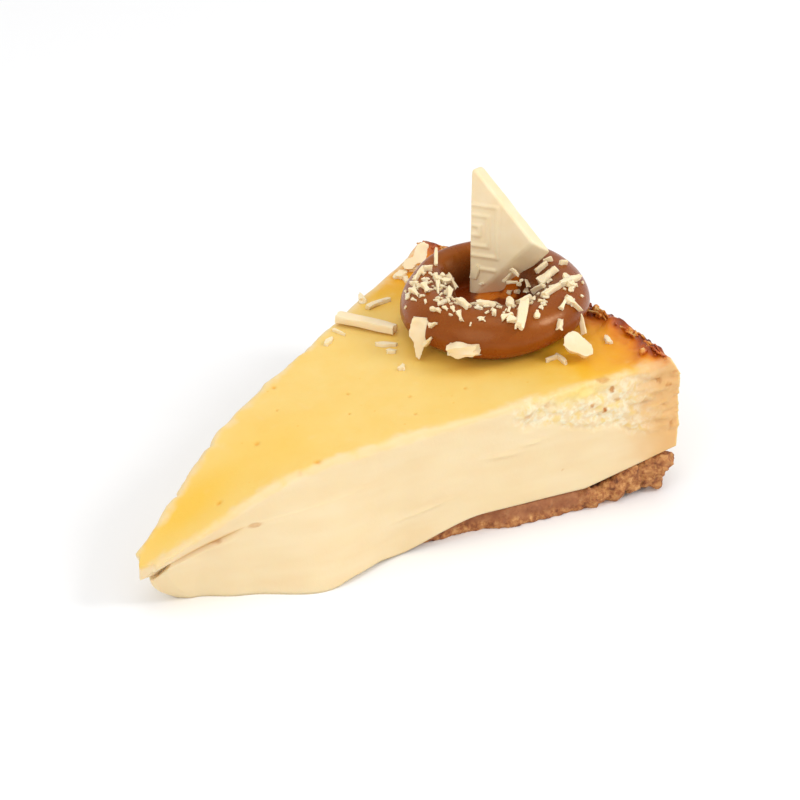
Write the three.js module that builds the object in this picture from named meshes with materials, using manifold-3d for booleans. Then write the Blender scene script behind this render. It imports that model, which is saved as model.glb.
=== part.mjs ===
// A slice of baked cheesecake, in millimetres, +Z up.
// It is shaped with the point where its two cuts meet at x = 0, y = 0, the slice running along +X and the
// visible cut on the -Y side. z = 0 is the surface it lies on. The finished group is then centred.

import * as THREE from 'three';
import { ImprovedNoise } from 'three/addons/math/ImprovedNoise.js';
import { mergeVertices } from 'three/addons/utils/BufferGeometryUtils.js';
import Module from 'manifold-3d';

const { clamp, degToRad, lerp, smoothstep } = THREE.MathUtils;
const wasm = await Module();
wasm.setup();

// The slice: a tenth of a cake baked in a 26 cm tin
const RIM_RADIUS = 128.6;
const HALF_ANGLE = degToRad(17.6);
const RIM_HEIGHT = 31;
const TOP_FALL = 0.063;
const TIP_SAG = 0.4;
const TIP_SAG_END = 41;
const TIP_SAG_ROUNDING = 4;
const RIM_CURVE = 0.0125;
const RIM_CURVE_HEIGHT = 16;
const RIM_FOOT_HEIGHT = 9;
const EDGE_DROP = 0.5;
const GAP = 0.3;

// The browned rim stands up in crags, away from the ring
const CRAG_START = 115;
const CRAG_FULL = 126;
const CRAG_HEIGHT = 0.5;
const CRAG_RELIEF = 1.6;
const CRAG_SIZE = 5;
const CRAG_CLEARANCE = [21.5, 25];

// The broken upper part of the near cut
const BROKEN_START = 88;
const BROKEN_FULL = 98;
const BROKEN_LEVELS = [0.5, 0.8];
const BROKEN_RELIEF = 1.1;
const BROKEN_SIZE = 4;

// The sagging tip: a skin that juts out, a crack below it, and the slumped filling
const SKIN_START = 9;
const CRACK_START = 14;
const FOOT_START = 17.4;
const CRACK_EDGE_HEIGHT = 9.5;
const CRACK_EDGE_SLOPE = 0.3;
const CRACK_MIDDLE_HEIGHT = 7.5;
const CRACK_FADE_START = 24;
const CRACK_END = 31;
const CRACK_RISE = 0.12;
const CRACK_WIDTH = 0.4;
const CRACK_DEPTH = 1.4;
const CRACK_CURVE = 1.5;
const TIP_BLUNTNESS = 2.2;
const TIP_BLUNT_SHARE = 0.12;
const TIP_RADII = [19, 20.8, 22.6, 24.8, 27.4];
const RIM_RADII = [121, 123.5, 126];
const EVEN_RADII_END = 118;
const EVEN_RADII_STEPS = 24;
const FOOT_OVERHANG = 5.8;
const FOOT_SPREAD = 5.6;
const FOOT_GROWS = [27, 45];
const FOOT_FADES = [46, 66];
const FOOT_CURVE = 1.5;
const FOOT_NARROWING = 3.2;
const NARROWING_FADES = [20, 29];
const FAR_FOOT_SHARE = 0.4;

// Levels of the filling between its lower edge, 0, and its top, 1
const UNDER_CRACK_LEVEL = 0.54;
const CRACK_LEVEL = 0.6;
const OVER_CRACK_LEVEL = 0.66;
const FILLING_LEVELS = [0, 0.12, 0.28, 0.42, UNDER_CRACK_LEVEL, CRACK_LEVEL, OVER_CRACK_LEVEL, 0.82, 0.94, 1];
const ACROSS_STEPS = 10;

// Stations across the slice. The outer three on each side make the cut, the inner edge of the filling's
// hanging lip, and the wall of the hollow that the base fills.
const WALL_STATION = 1;
const LIP_STATION = 0.95;
const HOLLOW_STATION = 0.9;
const LIP_INSET = 1;
const HOLLOW_INSET = 1.4;
const HOLLOW_STEP = 0.65;

// The biscuit base, which the filling hangs over near the tip
const BASE_START = 31;
const BASE_HEIGHT = 4.8;
const BASE_RISE_START = 107;
const BASE_RISE = 0.24;
const BASE_RIM_RADIUS = 127.3;
const BASE_FOOT_RADIUS = 124.3;
const BASE_STEP_LEVEL = 0.65;
const BASE_INSET = 2.3;
const BASE_OPEN_INSET = 0.3;
const BASE_INSET_FADES = [83, 89];
const BASE_LEVELS = [0, 0.35, 0.62, 0.68, 1];
const BASE_EVEN_SHARE = 0.8;
const BASE_STEPS = 17;
const BASE_RIM_SHARES = [0.86, 0.91, 0.96];
const BASE_CRUMB_DEPTH = 0.5;
const BASE_CRUMB_SIZE = 2.5;
const BASE_CRUMB_SWAY = 9;
const DRAPE_START = 60;
const DRAPE_END = 84;
const LIP_LIFT = 1.1;
const LIP_RISES = [45, 52];
const LIP_SINKS = [58, 66];

// The piped caramel ring, whose back is a thinner lip farther out
const RING_CENTRE = new THREE.Vector2(106.9, 1);
const RING_RADIUS = 14.1;
const RING_HALF_WIDTH = 6.2;
const RING_HALF_HEIGHT = 5.8;
const RING_SINK = 1.35;
const RING_FLOOR = 2.6;
const RING_CLEARANCE = 0.45;
const RING_SWELL = 0.035;
const RING_RIPPLE = 0.02;
const RING_SWELL_TURN = 0.6;
const BACK_LIP_RISES = [degToRad(25), degToRad(60)];
const BACK_LIP_ENDS = [degToRad(98), degToRad(124)];
const BACK_LIP_SHIFT = 2.4;
const BACK_LIP_OUTSIDE = 3;
const BACK_LIP_INSIDE = 1.9;
const RING_UNDERCUT = 2;
const RING_UNDERCUT_FADES = [0.1, 0.85];
const RING_SECTION_STEPS = 15;
const RING_TURN_STEPS = 48;

// The white chocolate triangle that stands in the ring
const TRIANGLE_EDGE = 29.7;
const TRIANGLE_THICKNESS = 4;
const TRIANGLE_SLANT = 3.8;
const TRIANGLE_BEVEL = 0.4;
const BEVEL_STEP = 0.1;
const BEVEL_INSET = 0.12;
const TRIANGLE_TIP_SHARE = 0.7;
const TRIANGLE_ROUNDING = [0.7, 0.6, 2.2];
const TRIANGLE_CORNER = new THREE.Vector3(108.24, 10.17, 30.96);
const TRIANGLE_RIGHT = new THREE.Vector3(0.326, -0.938, 0.08);
const TRIANGLE_UP = new THREE.Vector3(0.136, 0.13, 0.986);
const TRIANGLE_CLEARANCE = 1.6;
const LINE_WIDTH = 0.6;
const LINE_HEIGHT = 0.3;
const LINE_INSET = 0.4;
const SQUARE_CENTRE_HEIGHT = 15.7;
const SQUARES = [
  { reach: 6.6, half: 5.5 },
  { reach: 4.4, half: 3.3 },
  { reach: 2.3, half: 1 },
];
const LOW_BAR = [1.8, 6.3, 7.4];

// Flakes of chocolate strewn over the ring: degrees round it, degrees round its section, heading, lean,
// length and width
const RING_FLAKES = [
  [126, 70, -19, -9, 4.8, 0.9], [118, 86, -71, 0, 1.8, 1.3], [100, 102, 39, -15, 4.9, 0.9],
  [134, 107, 40, 0, 1.9, 1.3], [132, 125, -47, -12, 2.5, 1.3], [157, 101, -18, -25, 3.8, 0.9],
  [172, 110, -30, -32, 3.2, 1.5], [139, 63, 50, -5, 2.1, 0.8], [152, 61, 12, -16, 3.1, 1.4],
  [153, 81, 1, -17, 2.5, 1.4], [-179, 60, 11, 0, 2.2, 0.9], [-163, 96, -26, -10, 4, 1.5],
  [-159, 62, -51, 0, 2.4, 1.1], [-143, 108, -8, 1, 3.6, 1.7], [-135, 77, -69, -4, 1.7, 0.8],
  [-115, 65, 62, -2, 7.2, 2.3], [-119, 110, 78, 12, 4.2, 1.8], [-103, 110, 10, 8, 3.8, 1.6],
  [-126, 65, 15, 3, 2.5, 1.2], [-123, 57, -19, 4, 1.8, 1.5], [-42, 117, -56, 2, 4.7, 2.2],
  [-68, 90, -17, 3, 8, 1.5], [-54, 74, -35, 7, 5.3, 2.4], [-55, 77, 36, 8, 3.7, 1.8],
  [-14, 100, 79, -1, 1.9, 0.8], [-19, 119, -88, 1, 2.9, 0.8], [-24, 77, -88, 3, 1.8, 0.8],
  [-74, 42, -72, 2, 4.3, 1.3], [-81, 55, 20, 6, 3.2, 0.8], [-105, 57, 64, -1, 1.4, 1],
  [-92, 23, 62, 0, 1.8, 1.3], [-176, -2, 51, -7, 3, 1.2], [-175, 33, 36, 0, 1.7, 0.9],
];
const FLAKE_THICKNESS = 1.1;
const FLAKE_BEND = 0.1;
const CHIP_SINK = 0.2;
const CHIP_WOBBLE = [0.8, 1.2];

// A larger piece of chocolate stuck to the front of the ring
const FRONT_CHUNK = [-152, 2, 8, 0, 6, 3.2];
const FRONT_CHUNK_THICKNESS = 3;

// Small slivers on the cake to the left of the ring and one to its right
const SLIVER = { thickness: 1, lift: -0.25, bend: 0.1, seed: 40 };
const CAKE_SLIVERS = [
  { x: 77.1, y: 20.4, heading: 23, length: 2.9, width: 1.2 },
  { x: 81.1, y: 21.4, heading: -86, length: 3.1, width: 1.2 },
  { x: 95.2, y: 24.6, heading: -6, length: 5.7, width: 1.2 },
  { x: 94.2, y: 29, heading: 62, length: 3, width: 1.3 },
  { x: 84.6, y: 10.6, heading: -47, length: 4.6, width: 1.4 },
  { x: 80.6, y: 1.4, heading: 35, length: 2, width: 1.2 },
  { x: 117.2, y: -22.4, heading: 60, length: 2.8, width: 1.6 },
];

// The larger pieces of chocolate beside the ring, some of them pressed a little into it
const STICK = {
  x: 86.4, y: 18.8, heading: -68, lift: 0.5,
  length: 13.5, width: 3, thickness: 1.9, taper: 0.2, bend: 0.03, steps: 4, seed: 5,
};
const SLAB_BACK_SHARE = 0.8;
const SLAB_LIFT = 0.5;
const SLAB_CLEARANCE = 0.7;
const SLABS = {
  chocolate_shard_left: {
    x: 84.5, y: 1, heading: 35, lean: 74, thickness: 1.8,
    outline: [
      [0.5, 0], [1.6, 3.4], [2.3, 6.6], [1.8, 9.4], [-1.6, 9.4], [-2.4, 5.3], [-1.2, 3.9], [-0.5, 0.7],
    ],
  },
  chocolate_chunk_right: {
    x: 105.8, y: -25.2, heading: 47, lean: 46, thickness: 3,
    outline: [
      [1.4, 0], [3, 0.7], [2.8, 2.8], [1.4, 4.2], [-0.7, 5.9], [-2.3, 5.6], [-3.2, 4.5], [-3.4, 2.6],
      [-2.3, 1.4], [0, 0.7],
    ],
  },
  chocolate_curl_back: {
    x: 109.6, y: 28.6, heading: 47, lean: 42, thickness: 1.5,
    outline: [
      [-0.5, 0], [0.5, 1.4], [2.3, 1.8], [3, 3.7], [3.2, 6], [2.1, 6.9], [0.5, 6.2], [0, 5], [-0.5, 3.2],
      [-2.3, 2.8], [-3, 1.4], [-2.3, 0.2],
    ],
  },
};

const MATERIALS = {
  filling: new THREE.MeshStandardMaterial({ color: 0xf7dc9c, roughness: 0.55, metalness: 0 }),
  biscuit: new THREE.MeshStandardMaterial({ color: 0xa9743f, roughness: 0.9, metalness: 0 }),
  caramel: new THREE.MeshStandardMaterial({ color: 0x8f5426, roughness: 0.35, metalness: 0 }),
  chocolate: new THREE.MeshStandardMaterial({ color: 0xf1dfb8, roughness: 0.5, metalness: 0 }),
};

const noise = new ImprovedNoise();

// Uneven relief between about -1 and 1, with features of the given size
function relief(x, y, z, size) {
  return noise.noise(x / size + 7.3, y / size + 3.1, z / size + 5.7);
}

// A repeatable stream of numbers from 0 to 1
function seededRandom(seed) {
  let state = seed;
  return () => {
    state = (state * 1664525 + 1013904223) % 4294967296;
    return state / 4294967296;
  };
}

function topHeight(radius) {
  const sag = TIP_SAG * TIP_SAG_ROUNDING;
  const overhang = (TIP_SAG_END - radius) / TIP_SAG_ROUNDING;
  return RIM_HEIGHT - TOP_FALL * (RIM_RADIUS - radius) - sag * Math.log1p(Math.exp(overhang));
}

function rimCrags(x, y) {
  const radius = Math.hypot(x, y);
  const fromRing = Math.hypot(x - RING_CENTRE.x, y - RING_CENTRE.y);
  const amount = smoothstep(radius, CRAG_START, CRAG_FULL) * smoothstep(fromRing, ...CRAG_CLEARANCE);
  return amount * (CRAG_HEIGHT + CRAG_RELIEF * Math.abs(relief(x, y, 0, CRAG_SIZE)));
}

function baseTop(radius) {
  return BASE_HEIGHT + BASE_RISE * Math.max(0, radius - BASE_RISE_START);
}

// Height of the filling's lower edge on the cuts
function lowerEdge(radius) {
  const lift = LIP_LIFT * smoothstep(radius, ...LIP_RISES) * (1 - smoothstep(radius, ...LIP_SINKS));
  const climb = smoothstep(radius, DRAPE_START, DRAPE_END);
  return lift + climb * (baseTop(radius) + GAP);
}

// Height of the crack under the skin, lower in the middle of the slice than at its cuts
function crackHeight(radius, across) {
  const edge = CRACK_EDGE_HEIGHT + CRACK_EDGE_SLOPE * (Math.min(radius, CRACK_END) - SKIN_START);
  const beyond = CRACK_RISE * Math.max(0, radius - CRACK_END);
  return lerp(CRACK_MIDDLE_HEIGHT, edge, Math.abs(across) ** CRACK_CURVE) + beyond;
}

// How far the filling spreads out of the cut at a level, 0 at the floor and 1 at the top
function spread(radius, across, level) {
  const foot = FOOT_SPREAD * smoothstep(radius, ...FOOT_GROWS) * (1 - smoothstep(radius, ...FOOT_FADES));
  const nose = FOOT_NARROWING * (1 - smoothstep(radius, ...NARROWING_FADES));
  const share = across < 0 ? 1 : FAR_FOOT_SHARE;
  return (share * foot - nose) * (1 - level) ** FOOT_CURVE;
}

// A closed body from a box of grid stations, each outer corner put in place by a function
function boxGrid(along, across, up, place) {
  const numbers = new Map();
  const positions = [];
  const triangles = [];
  const corner = (i, j, k) => {
    const key = `${i} ${j} ${k}`;
    if (!numbers.has(key)) {
      numbers.set(key, positions.length / 3);
      positions.push(...place(along[i], across[j], up[k]).toArray());
    }
    return numbers.get(key);
  };
  const quad = (...corners) => {
    const [a, b, c, d] = corners.map((at) => corner(...at));
    triangles.push(a, b, c, a, c, d);
  };
  const lastI = along.length - 1;
  const lastJ = across.length - 1;
  const lastK = up.length - 1;
  for (let i = 0; i < lastI; i += 1) {
    for (let j = 0; j < lastJ; j += 1) {
      quad([i, j, lastK], [i + 1, j, lastK], [i + 1, j + 1, lastK], [i, j + 1, lastK]);
      quad([i, j, 0], [i, j + 1, 0], [i + 1, j + 1, 0], [i + 1, j, 0]);
    }
    for (let k = 0; k < lastK; k += 1) {
      quad([i, 0, k], [i + 1, 0, k], [i + 1, 0, k + 1], [i, 0, k + 1]);
      quad([i, lastJ, k], [i, lastJ, k + 1], [i + 1, lastJ, k + 1], [i + 1, lastJ, k]);
    }
  }
  for (let j = 0; j < lastJ; j += 1) {
    for (let k = 0; k < lastK; k += 1) {
      quad([lastI, j, k], [lastI, j + 1, k], [lastI, j + 1, k + 1], [lastI, j, k + 1]);
      quad([0, j, k], [0, j, k + 1], [0, j + 1, k + 1], [0, j + 1, k]);
    }
  }
  const geometry = new THREE.BufferGeometry();
  geometry.setAttribute('position', new THREE.Float32BufferAttribute(positions, 3));
  geometry.setIndex(triangles);
  return geometry;
}

// Evenly spaced numbers from start to end
function stations(start, end, steps) {
  return Array.from({ length: steps + 1 }, (_, i) => lerp(start, end, i / steps));
}

function toSolid(geometry) {
  const merged = mergeVertices(stripped(geometry.clone()), 1e-4);
  const corners = merged.getIndex().array;
  const triangles = [];
  for (let i = 0; i < corners.length; i += 3) {
    const [a, b, c] = corners.slice(i, i + 3);
    if (a !== b && b !== c && c !== a) {
      triangles.push(a, b, c);
    }
  }
  return new wasm.Manifold(new wasm.Mesh({
    numProp: 3,
    vertProperties: merged.getAttribute('position').array,
    triVerts: Uint32Array.from(triangles),
  }));
}

function stripped(geometry) {
  geometry.deleteAttribute('normal');
  geometry.deleteAttribute('uv');
  return geometry;
}

function toGeometry(solid) {
  const mesh = solid.getMesh();
  const geometry = new THREE.BufferGeometry();
  geometry.setAttribute('position', new THREE.Float32BufferAttribute(mesh.vertProperties, 3));
  geometry.setIndex(Array.from(mesh.triVerts));
  return geometry;
}

function acrossStations() {
  const inner = stations(-HOLLOW_STATION, HOLLOW_STATION, ACROSS_STEPS);
  return [-WALL_STATION, -LIP_STATION, ...inner, LIP_STATION, WALL_STATION];
}

function sidewaysPlace(radius, across, level) {
  const half = radius * Math.sin(HALF_ANGLE);
  const wall = half + spread(radius, across, level);
  const share = Math.abs(across);
  let distance = Math.min(half - HOLLOW_INSET, wall * HOLLOW_STATION) * share / HOLLOW_STATION;
  if (share === LIP_STATION) {
    distance = Math.min(half - LIP_INSET, wall * LIP_STATION);
  }
  if (share === WALL_STATION) {
    distance = wall;
  }
  return Math.sign(across) * distance;
}

function tipStart(level) {
  if (level >= OVER_CRACK_LEVEL) {
    return SKIN_START;
  }
  return level === CRACK_LEVEL ? CRACK_START : FOOT_START - FOOT_OVERHANG * level / UNDER_CRACK_LEVEL;
}

function rimRadius(height) {
  return RIM_RADIUS - RIM_CURVE * (height - RIM_CURVE_HEIGHT) ** 2;
}

// The filling, hollow underneath where the base lies
function placeFilling(station, across, level) {
  const floorRadius = lerp(FOOT_START, RIM_RADIUS, station);
  const bluntTip = TIP_BLUNTNESS * across ** 2 * (1 - smoothstep(station, 0, TIP_BLUNT_SHARE));
  const rim = rimRadius(lerp(RIM_FOOT_HEIGHT, RIM_HEIGHT, level));
  const radius = lerp(tipStart(level) + bluntTip, rim, station);
  const crackShare = level === CRACK_LEVEL ? 1 - smoothstep(radius, CRACK_FADE_START, CRACK_END) : 0;
  const y = sidewaysPlace(radius, across, level);
  const x = Math.sqrt(radius ** 2 - y ** 2);
  const crumble = across === -WALL_STATION ? brokenRelief(x, radius, level) : 0;
  const height = fillingHeight(floorRadius, radius, across, level, x, y);
  return new THREE.Vector3(x, y - across * CRACK_DEPTH * crackShare - crumble, height);
}

function brokenRelief(x, radius, level) {
  const share = smoothstep(radius, BROKEN_START, BROKEN_FULL) * smoothstep(level, ...BROKEN_LEVELS);
  return level < 1 ? BROKEN_RELIEF * share * relief(x, 0, level * RIM_HEIGHT, BROKEN_SIZE) : 0;
}

function fillingHeight(floorRadius, radius, across, level, x, y) {
  const crack = crackHeight(radius, across);
  if (level === 1) {
    const edgeDrop = Math.abs(across) === WALL_STATION ? EDGE_DROP : 0;
    return topHeight(radius) + rimCrags(x, y) - edgeDrop;
  }
  if (level > CRACK_LEVEL) {
    return lerp(crack, topHeight(radius), (level - OVER_CRACK_LEVEL) / (1 - OVER_CRACK_LEVEL));
  }
  const onBase = Math.abs(across) <= HOLLOW_STATION && floorRadius > BASE_START - HOLLOW_STEP;
  const floor = onBase || floorRadius > DRAPE_END ? baseTop(floorRadius) + GAP : lowerEdge(floorRadius);
  return lerp(floor, crack - CRACK_WIDTH, level / CRACK_LEVEL);
}

function fillingGeometry() {
  const radii = [
    FOOT_START, ...TIP_RADII, BASE_START - HOLLOW_STEP,
    ...stations(BASE_START - GAP, EVEN_RADII_END, EVEN_RADII_STEPS), ...RIM_RADII, RIM_RADIUS,
  ];
  const along = radii.map((radius) => (radius - FOOT_START) / (RIM_RADIUS - FOOT_START));
  return boxGrid(along, acrossStations(), FILLING_LEVELS, placeFilling);
}

// The biscuit base: flush with the cuts where it shows, set back where the filling hangs over it
function placeBase(station, across, level) {
  const height = baseTop(lerp(BASE_START, BASE_RIM_RADIUS, station)) * level;
  const rim = level > BASE_STEP_LEVEL ? BASE_RIM_RADIUS : BASE_FOOT_RADIUS;
  const radius = lerp(BASE_START, rim, station);
  const inset = lerp(BASE_INSET, BASE_OPEN_INSET, smoothstep(radius, ...BASE_INSET_FADES));
  const uneven = relief(radius, across * BASE_CRUMB_SWAY, 2 * height, BASE_CRUMB_SIZE);
  const crumbs = level === 0 ? 0 : BASE_CRUMB_DEPTH * Math.abs(uneven);
  const angle = across * HALF_ANGLE;
  const side = Math.abs(across) * (inset + crumbs);
  const y = radius * Math.sin(angle) - Math.sign(across) * side;
  const x = Math.sqrt(radius ** 2 - y ** 2) - (station === 1 ? crumbs : 0);
  return new THREE.Vector3(x, y, height);
}

function baseGeometry() {
  const along = [...stations(0, BASE_EVEN_SHARE, BASE_STEPS), ...BASE_RIM_SHARES, 1];
  return boxGrid(along, stations(-1, 1, ACROSS_STEPS), BASE_LEVELS, placeBase);
}

// A chip of chocolate: a bent, tapering splinter along +X with uneven corners, centred on its own middle
function chipGeometry({ length, width, thickness, bend, taper = 0.5, steps = 2, seed }) {
  const random = seededRandom(seed);
  return boxGrid(stations(-0.5, 0.5, steps), [-0.5, 0.5], [-0.5, 0.5], (u, v, w) => {
    const narrowing = 1 - taper * (u + 0.5);
    const wobble = () => lerp(...CHIP_WOBBLE, random());
    const rise = bend * length * (0.25 - u * u);
    return new THREE.Vector3(
      u * length,
      v * width * narrowing * wobble(),
      w * thickness * wobble() + rise,
    );
  });
}

// The ring as a cushion with a hollow in the middle, uneven as piped caramel is
function ringCentreHeight(x, y) {
  return topHeight(Math.hypot(x, y)) + RING_CLEARANCE + RING_HALF_HEIGHT - RING_SINK;
}

function ringPoint(turn, section) {
  const swell = 1 + RING_SWELL * Math.sin(2 * turn + RING_SWELL_TURN) + RING_RIPPLE * Math.sin(5 * turn);
  const lip = smoothstep(turn, ...BACK_LIP_RISES) * (1 - smoothstep(turn, ...BACK_LIP_ENDS));
  const narrowing = lip * (Math.cos(section) > 0 ? BACK_LIP_OUTSIDE : BACK_LIP_INSIDE);
  const halfWidth = RING_HALF_WIDTH * swell - narrowing;
  const undercut = RING_UNDERCUT * smoothstep(-section, ...RING_UNDERCUT_FADES);
  const reach = RING_RADIUS + BACK_LIP_SHIFT * lip + halfWidth * Math.cos(section) - undercut;
  const x = RING_CENTRE.x + reach * Math.cos(turn);
  const y = RING_CENTRE.y + reach * Math.sin(turn);
  const rise = RING_HALF_HEIGHT * swell * Math.sin(section);
  return new THREE.Vector3(x, y, ringCentreHeight(x, y) + rise);
}

function ringGeometry() {
  const underside = Math.asin((RING_SINK - RING_HALF_HEIGHT) / RING_HALF_HEIGHT);
  const floorMeets = Math.PI - Math.asin((RING_FLOOR + RING_SINK - RING_HALF_HEIGHT) / RING_HALF_HEIGHT);
  const sections = stations(underside, floorMeets, RING_SECTION_STEPS);
  const profile = [
    new THREE.Vector2(0, 0),
    ...sections.map((section, i) => new THREE.Vector2(i + 1, section)),
    new THREE.Vector2(0, RING_SECTION_STEPS + 2),
  ];
  const geometry = mergeVertices(stripped(new THREE.LatheGeometry(profile, RING_TURN_STEPS)), 1e-4);
  const position = geometry.getAttribute('position');
  for (let i = 0; i < position.count; i += 1) {
    const order = Math.round(Math.hypot(position.getX(i), position.getZ(i)));
    const turn = Math.atan2(position.getX(i), position.getZ(i));
    let point = ringPoint(turn, sections[order - 1] ?? 0);
    if (order === 0) {
      const top = position.getY(i) > 0 ? RING_FLOOR : 0;
      const height = topHeight(RING_CENTRE.x) + RING_CLEARANCE + top;
      point = new THREE.Vector3(RING_CENTRE.x, RING_CENTRE.y, height);
    }
    position.setXYZ(i, point.x, point.y, point.z);
  }
  return geometry;
}

// A closed body from rings of points, with both ends closed by fans. The rings turn anticlockwise as seen
// from beyond the last one.
function loft(rings) {
  const size = rings[0].length;
  const ends = [rings[0], rings[rings.length - 1]].map((ring) => ring
    .reduce((sum, point) => sum.add(point), new THREE.Vector3())
    .divideScalar(size));
  const positions = [...rings.flat(), ...ends].flatMap((point) => point.toArray());
  const triangles = [];
  for (let i = 0; i < size; i += 1) {
    const next = (i + 1) % size;
    for (let k = 0; k < rings.length - 1; k += 1) {
      const low = k * size;
      triangles.push(low + i, low + next, low + size + next, low + i, low + size + next, low + size + i);
    }
    const last = (rings.length - 1) * size;
    triangles.push(next, i, last + size, last + i, last + next, last + size + 1);
  }
  const geometry = new THREE.BufferGeometry();
  geometry.setAttribute('position', new THREE.Float32BufferAttribute(positions, 3));
  geometry.setIndex(triangles);
  return geometry;
}

// The outline of the triangle's front, its three corners rounded
function triangleOutline() {
  const half = TRIANGLE_EDGE / 2;
  const corners = [[0, 0], [half, half], [0, TRIANGLE_EDGE]].map(([x, y]) => new THREE.Vector3(x, y, 0));
  return corners.flatMap((corner, i) => {
    const before = corners[(i + 2) % 3];
    const after = corners[(i + 1) % 3];
    const reach = TRIANGLE_ROUNDING[i];
    const start = corner.clone().addScaledVector(before.clone().sub(corner).normalize(), reach);
    const end = corner.clone().addScaledVector(after.clone().sub(corner).normalize(), reach);
    return new THREE.QuadraticBezierCurve3(start, corner, end).getPoints(3);
  });
}

// The triangle of white chocolate, its front face in the plane of its right and up directions. The cut
// from its foot to its side corner slants outward behind. It can be made larger all round.
function triangleGeometry(grow = 0) {
  const half = TRIANGLE_EDGE / 2;
  const inCircle = half * (Math.SQRT2 - 1);
  const centre = new THREE.Vector3(inCircle, half, 0);
  const back = -TRIANGLE_THICKNESS;
  const layers = [
    [back - grow, TRIANGLE_BEVEL],
    [back - grow + BEVEL_STEP, BEVEL_INSET],
    [back + TRIANGLE_BEVEL, 0],
    [-TRIANGLE_BEVEL, 0],
    [grow - BEVEL_STEP, BEVEL_INSET],
    [grow, TRIANGLE_BEVEL],
  ];
  const outline = triangleOutline();
  return loft(layers.map(([z, inset]) => outline.map((point) => {
    const shrunk = point.clone().sub(centre).multiplyScalar((inCircle + grow - inset) / inCircle).add(centre);
    const isTip = shrunk.y > TRIANGLE_TIP_SHARE * TRIANGLE_EDGE;
    const slant = isTip ? 0 : TRIANGLE_SLANT * Math.SQRT2 * clamp(z / back, 0, 1);
    const towardsSide = 0.5 * clamp(shrunk.x / half, 0, 1);
    return new THREE.Vector3(shrunk.x + slant * towardsSide, shrunk.y - slant * (1 - towardsSide), z);
  })));
}

// Nested squares in low relief, cut off by the long edge, and a short bar below them
function triangleLines() {
  const bar = (left, right, height) => {
    const line = new THREE.BoxGeometry(right - left, LINE_WIDTH, 2 * LINE_HEIGHT);
    return line.translate((left + right) / 2, height, 0);
  };
  const squares = SQUARES.flatMap(({ reach, half }) => [
    bar(LINE_INSET, reach, SQUARE_CENTRE_HEIGHT + half),
    bar(LINE_INSET, reach, SQUARE_CENTRE_HEIGHT - half),
    new THREE.BoxGeometry(LINE_WIDTH, 2 * half + LINE_WIDTH, 2 * LINE_HEIGHT)
      .translate(reach, SQUARE_CENTRE_HEIGHT, 0),
  ]);
  return [...squares, bar(...LOW_BAR)];
}

// Puts geometries of the triangle's own frame in place, joined and cut level above the cake
function standingInRing(geometries, clearance) {
  const forward = new THREE.Vector3().crossVectors(TRIANGLE_RIGHT, TRIANGLE_UP);
  const frame = new THREE.Matrix4().makeBasis(TRIANGLE_RIGHT, TRIANGLE_UP, forward);
  frame.setPosition(TRIANGLE_CORNER);
  const solids = geometries.map((geometry) => toSolid(geometry.applyMatrix4(frame)));
  const size = TRIANGLE_EDGE;
  const floor = topHeight(TRIANGLE_CORNER.x) + clearance;
  const below = new THREE.BoxGeometry(2 * size, 2 * size, size);
  below.translate(TRIANGLE_CORNER.x, TRIANGLE_CORNER.y, floor - size / 2);
  return solids.reduce((whole, solid) => whole.add(solid)).subtract(toSolid(below));
}

function triangleSolid() {
  return standingInRing([triangleGeometry(), ...triangleLines()], TRIANGLE_CLEARANCE);
}

// A chip lying on the ring's skin
function chipOnRing([turnDegrees, sectionDegrees, heading, lean, length, width], thickness, seed) {
  const turn = degToRad(turnDegrees);
  const section = degToRad(sectionDegrees);
  const outward = new THREE.Vector3(
    Math.cos(section) * Math.cos(turn),
    Math.cos(section) * Math.sin(turn),
    Math.sin(section),
  );
  const along = new THREE.Vector3(-Math.sin(turn), Math.cos(turn), 0)
    .applyAxisAngle(outward, degToRad(heading))
    .multiplyScalar(Math.cos(degToRad(lean)))
    .addScaledVector(outward, Math.sin(degToRad(lean)));
  const aside = new THREE.Vector3().crossVectors(outward, along).normalize();
  const frame = new THREE.Matrix4().makeBasis(along, aside, new THREE.Vector3().crossVectors(along, aside));
  const middle = ringPoint(turn, section).addScaledVector(outward, CHIP_SINK * thickness);
  return chipGeometry({ length, width, thickness, bend: FLAKE_BEND, seed })
    .applyMatrix4(frame.setPosition(middle));
}

// Drops whatever scrap is left loose
function largest(solid) {
  return solid.decompose().sort((a, b) => b.volume() - a.volume())[0];
}

function joined(body, pieces) {
  return largest(pieces.reduce((whole, piece) => whole.add(toSolid(piece)), body));
}

function ringSolid() {
  const flakes = RING_FLAKES.map((flake, i) => chipOnRing(flake, FLAKE_THICKNESS, i + 1));
  const chunk = chipOnRing(FRONT_CHUNK, FRONT_CHUNK_THICKNESS, RING_FLAKES.length);
  const hole = standingInRing([triangleGeometry(RING_CLEARANCE)], TRIANGLE_CLEARANCE - GAP);
  const dents = Object.values(SLABS).map((slab) => toSolid(slabOnCake(slab, SLAB_CLEARANCE)));
  const ring = joined(toSolid(ringGeometry()), [chunk, ...flakes]);
  return largest([hole, ...dents].reduce((rest, cut) => rest.subtract(cut), ring));
}

// A chip that lies on the cake, sunk a little into the skin or held a gap above it
function chipOnCake({ x, y, heading, lift, ...shape }) {
  const height = topHeight(Math.hypot(x, y)) + shape.thickness / 2 + lift;
  return chipGeometry(shape).rotateZ(degToRad(heading)).translate(x, y, height);
}

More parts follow.
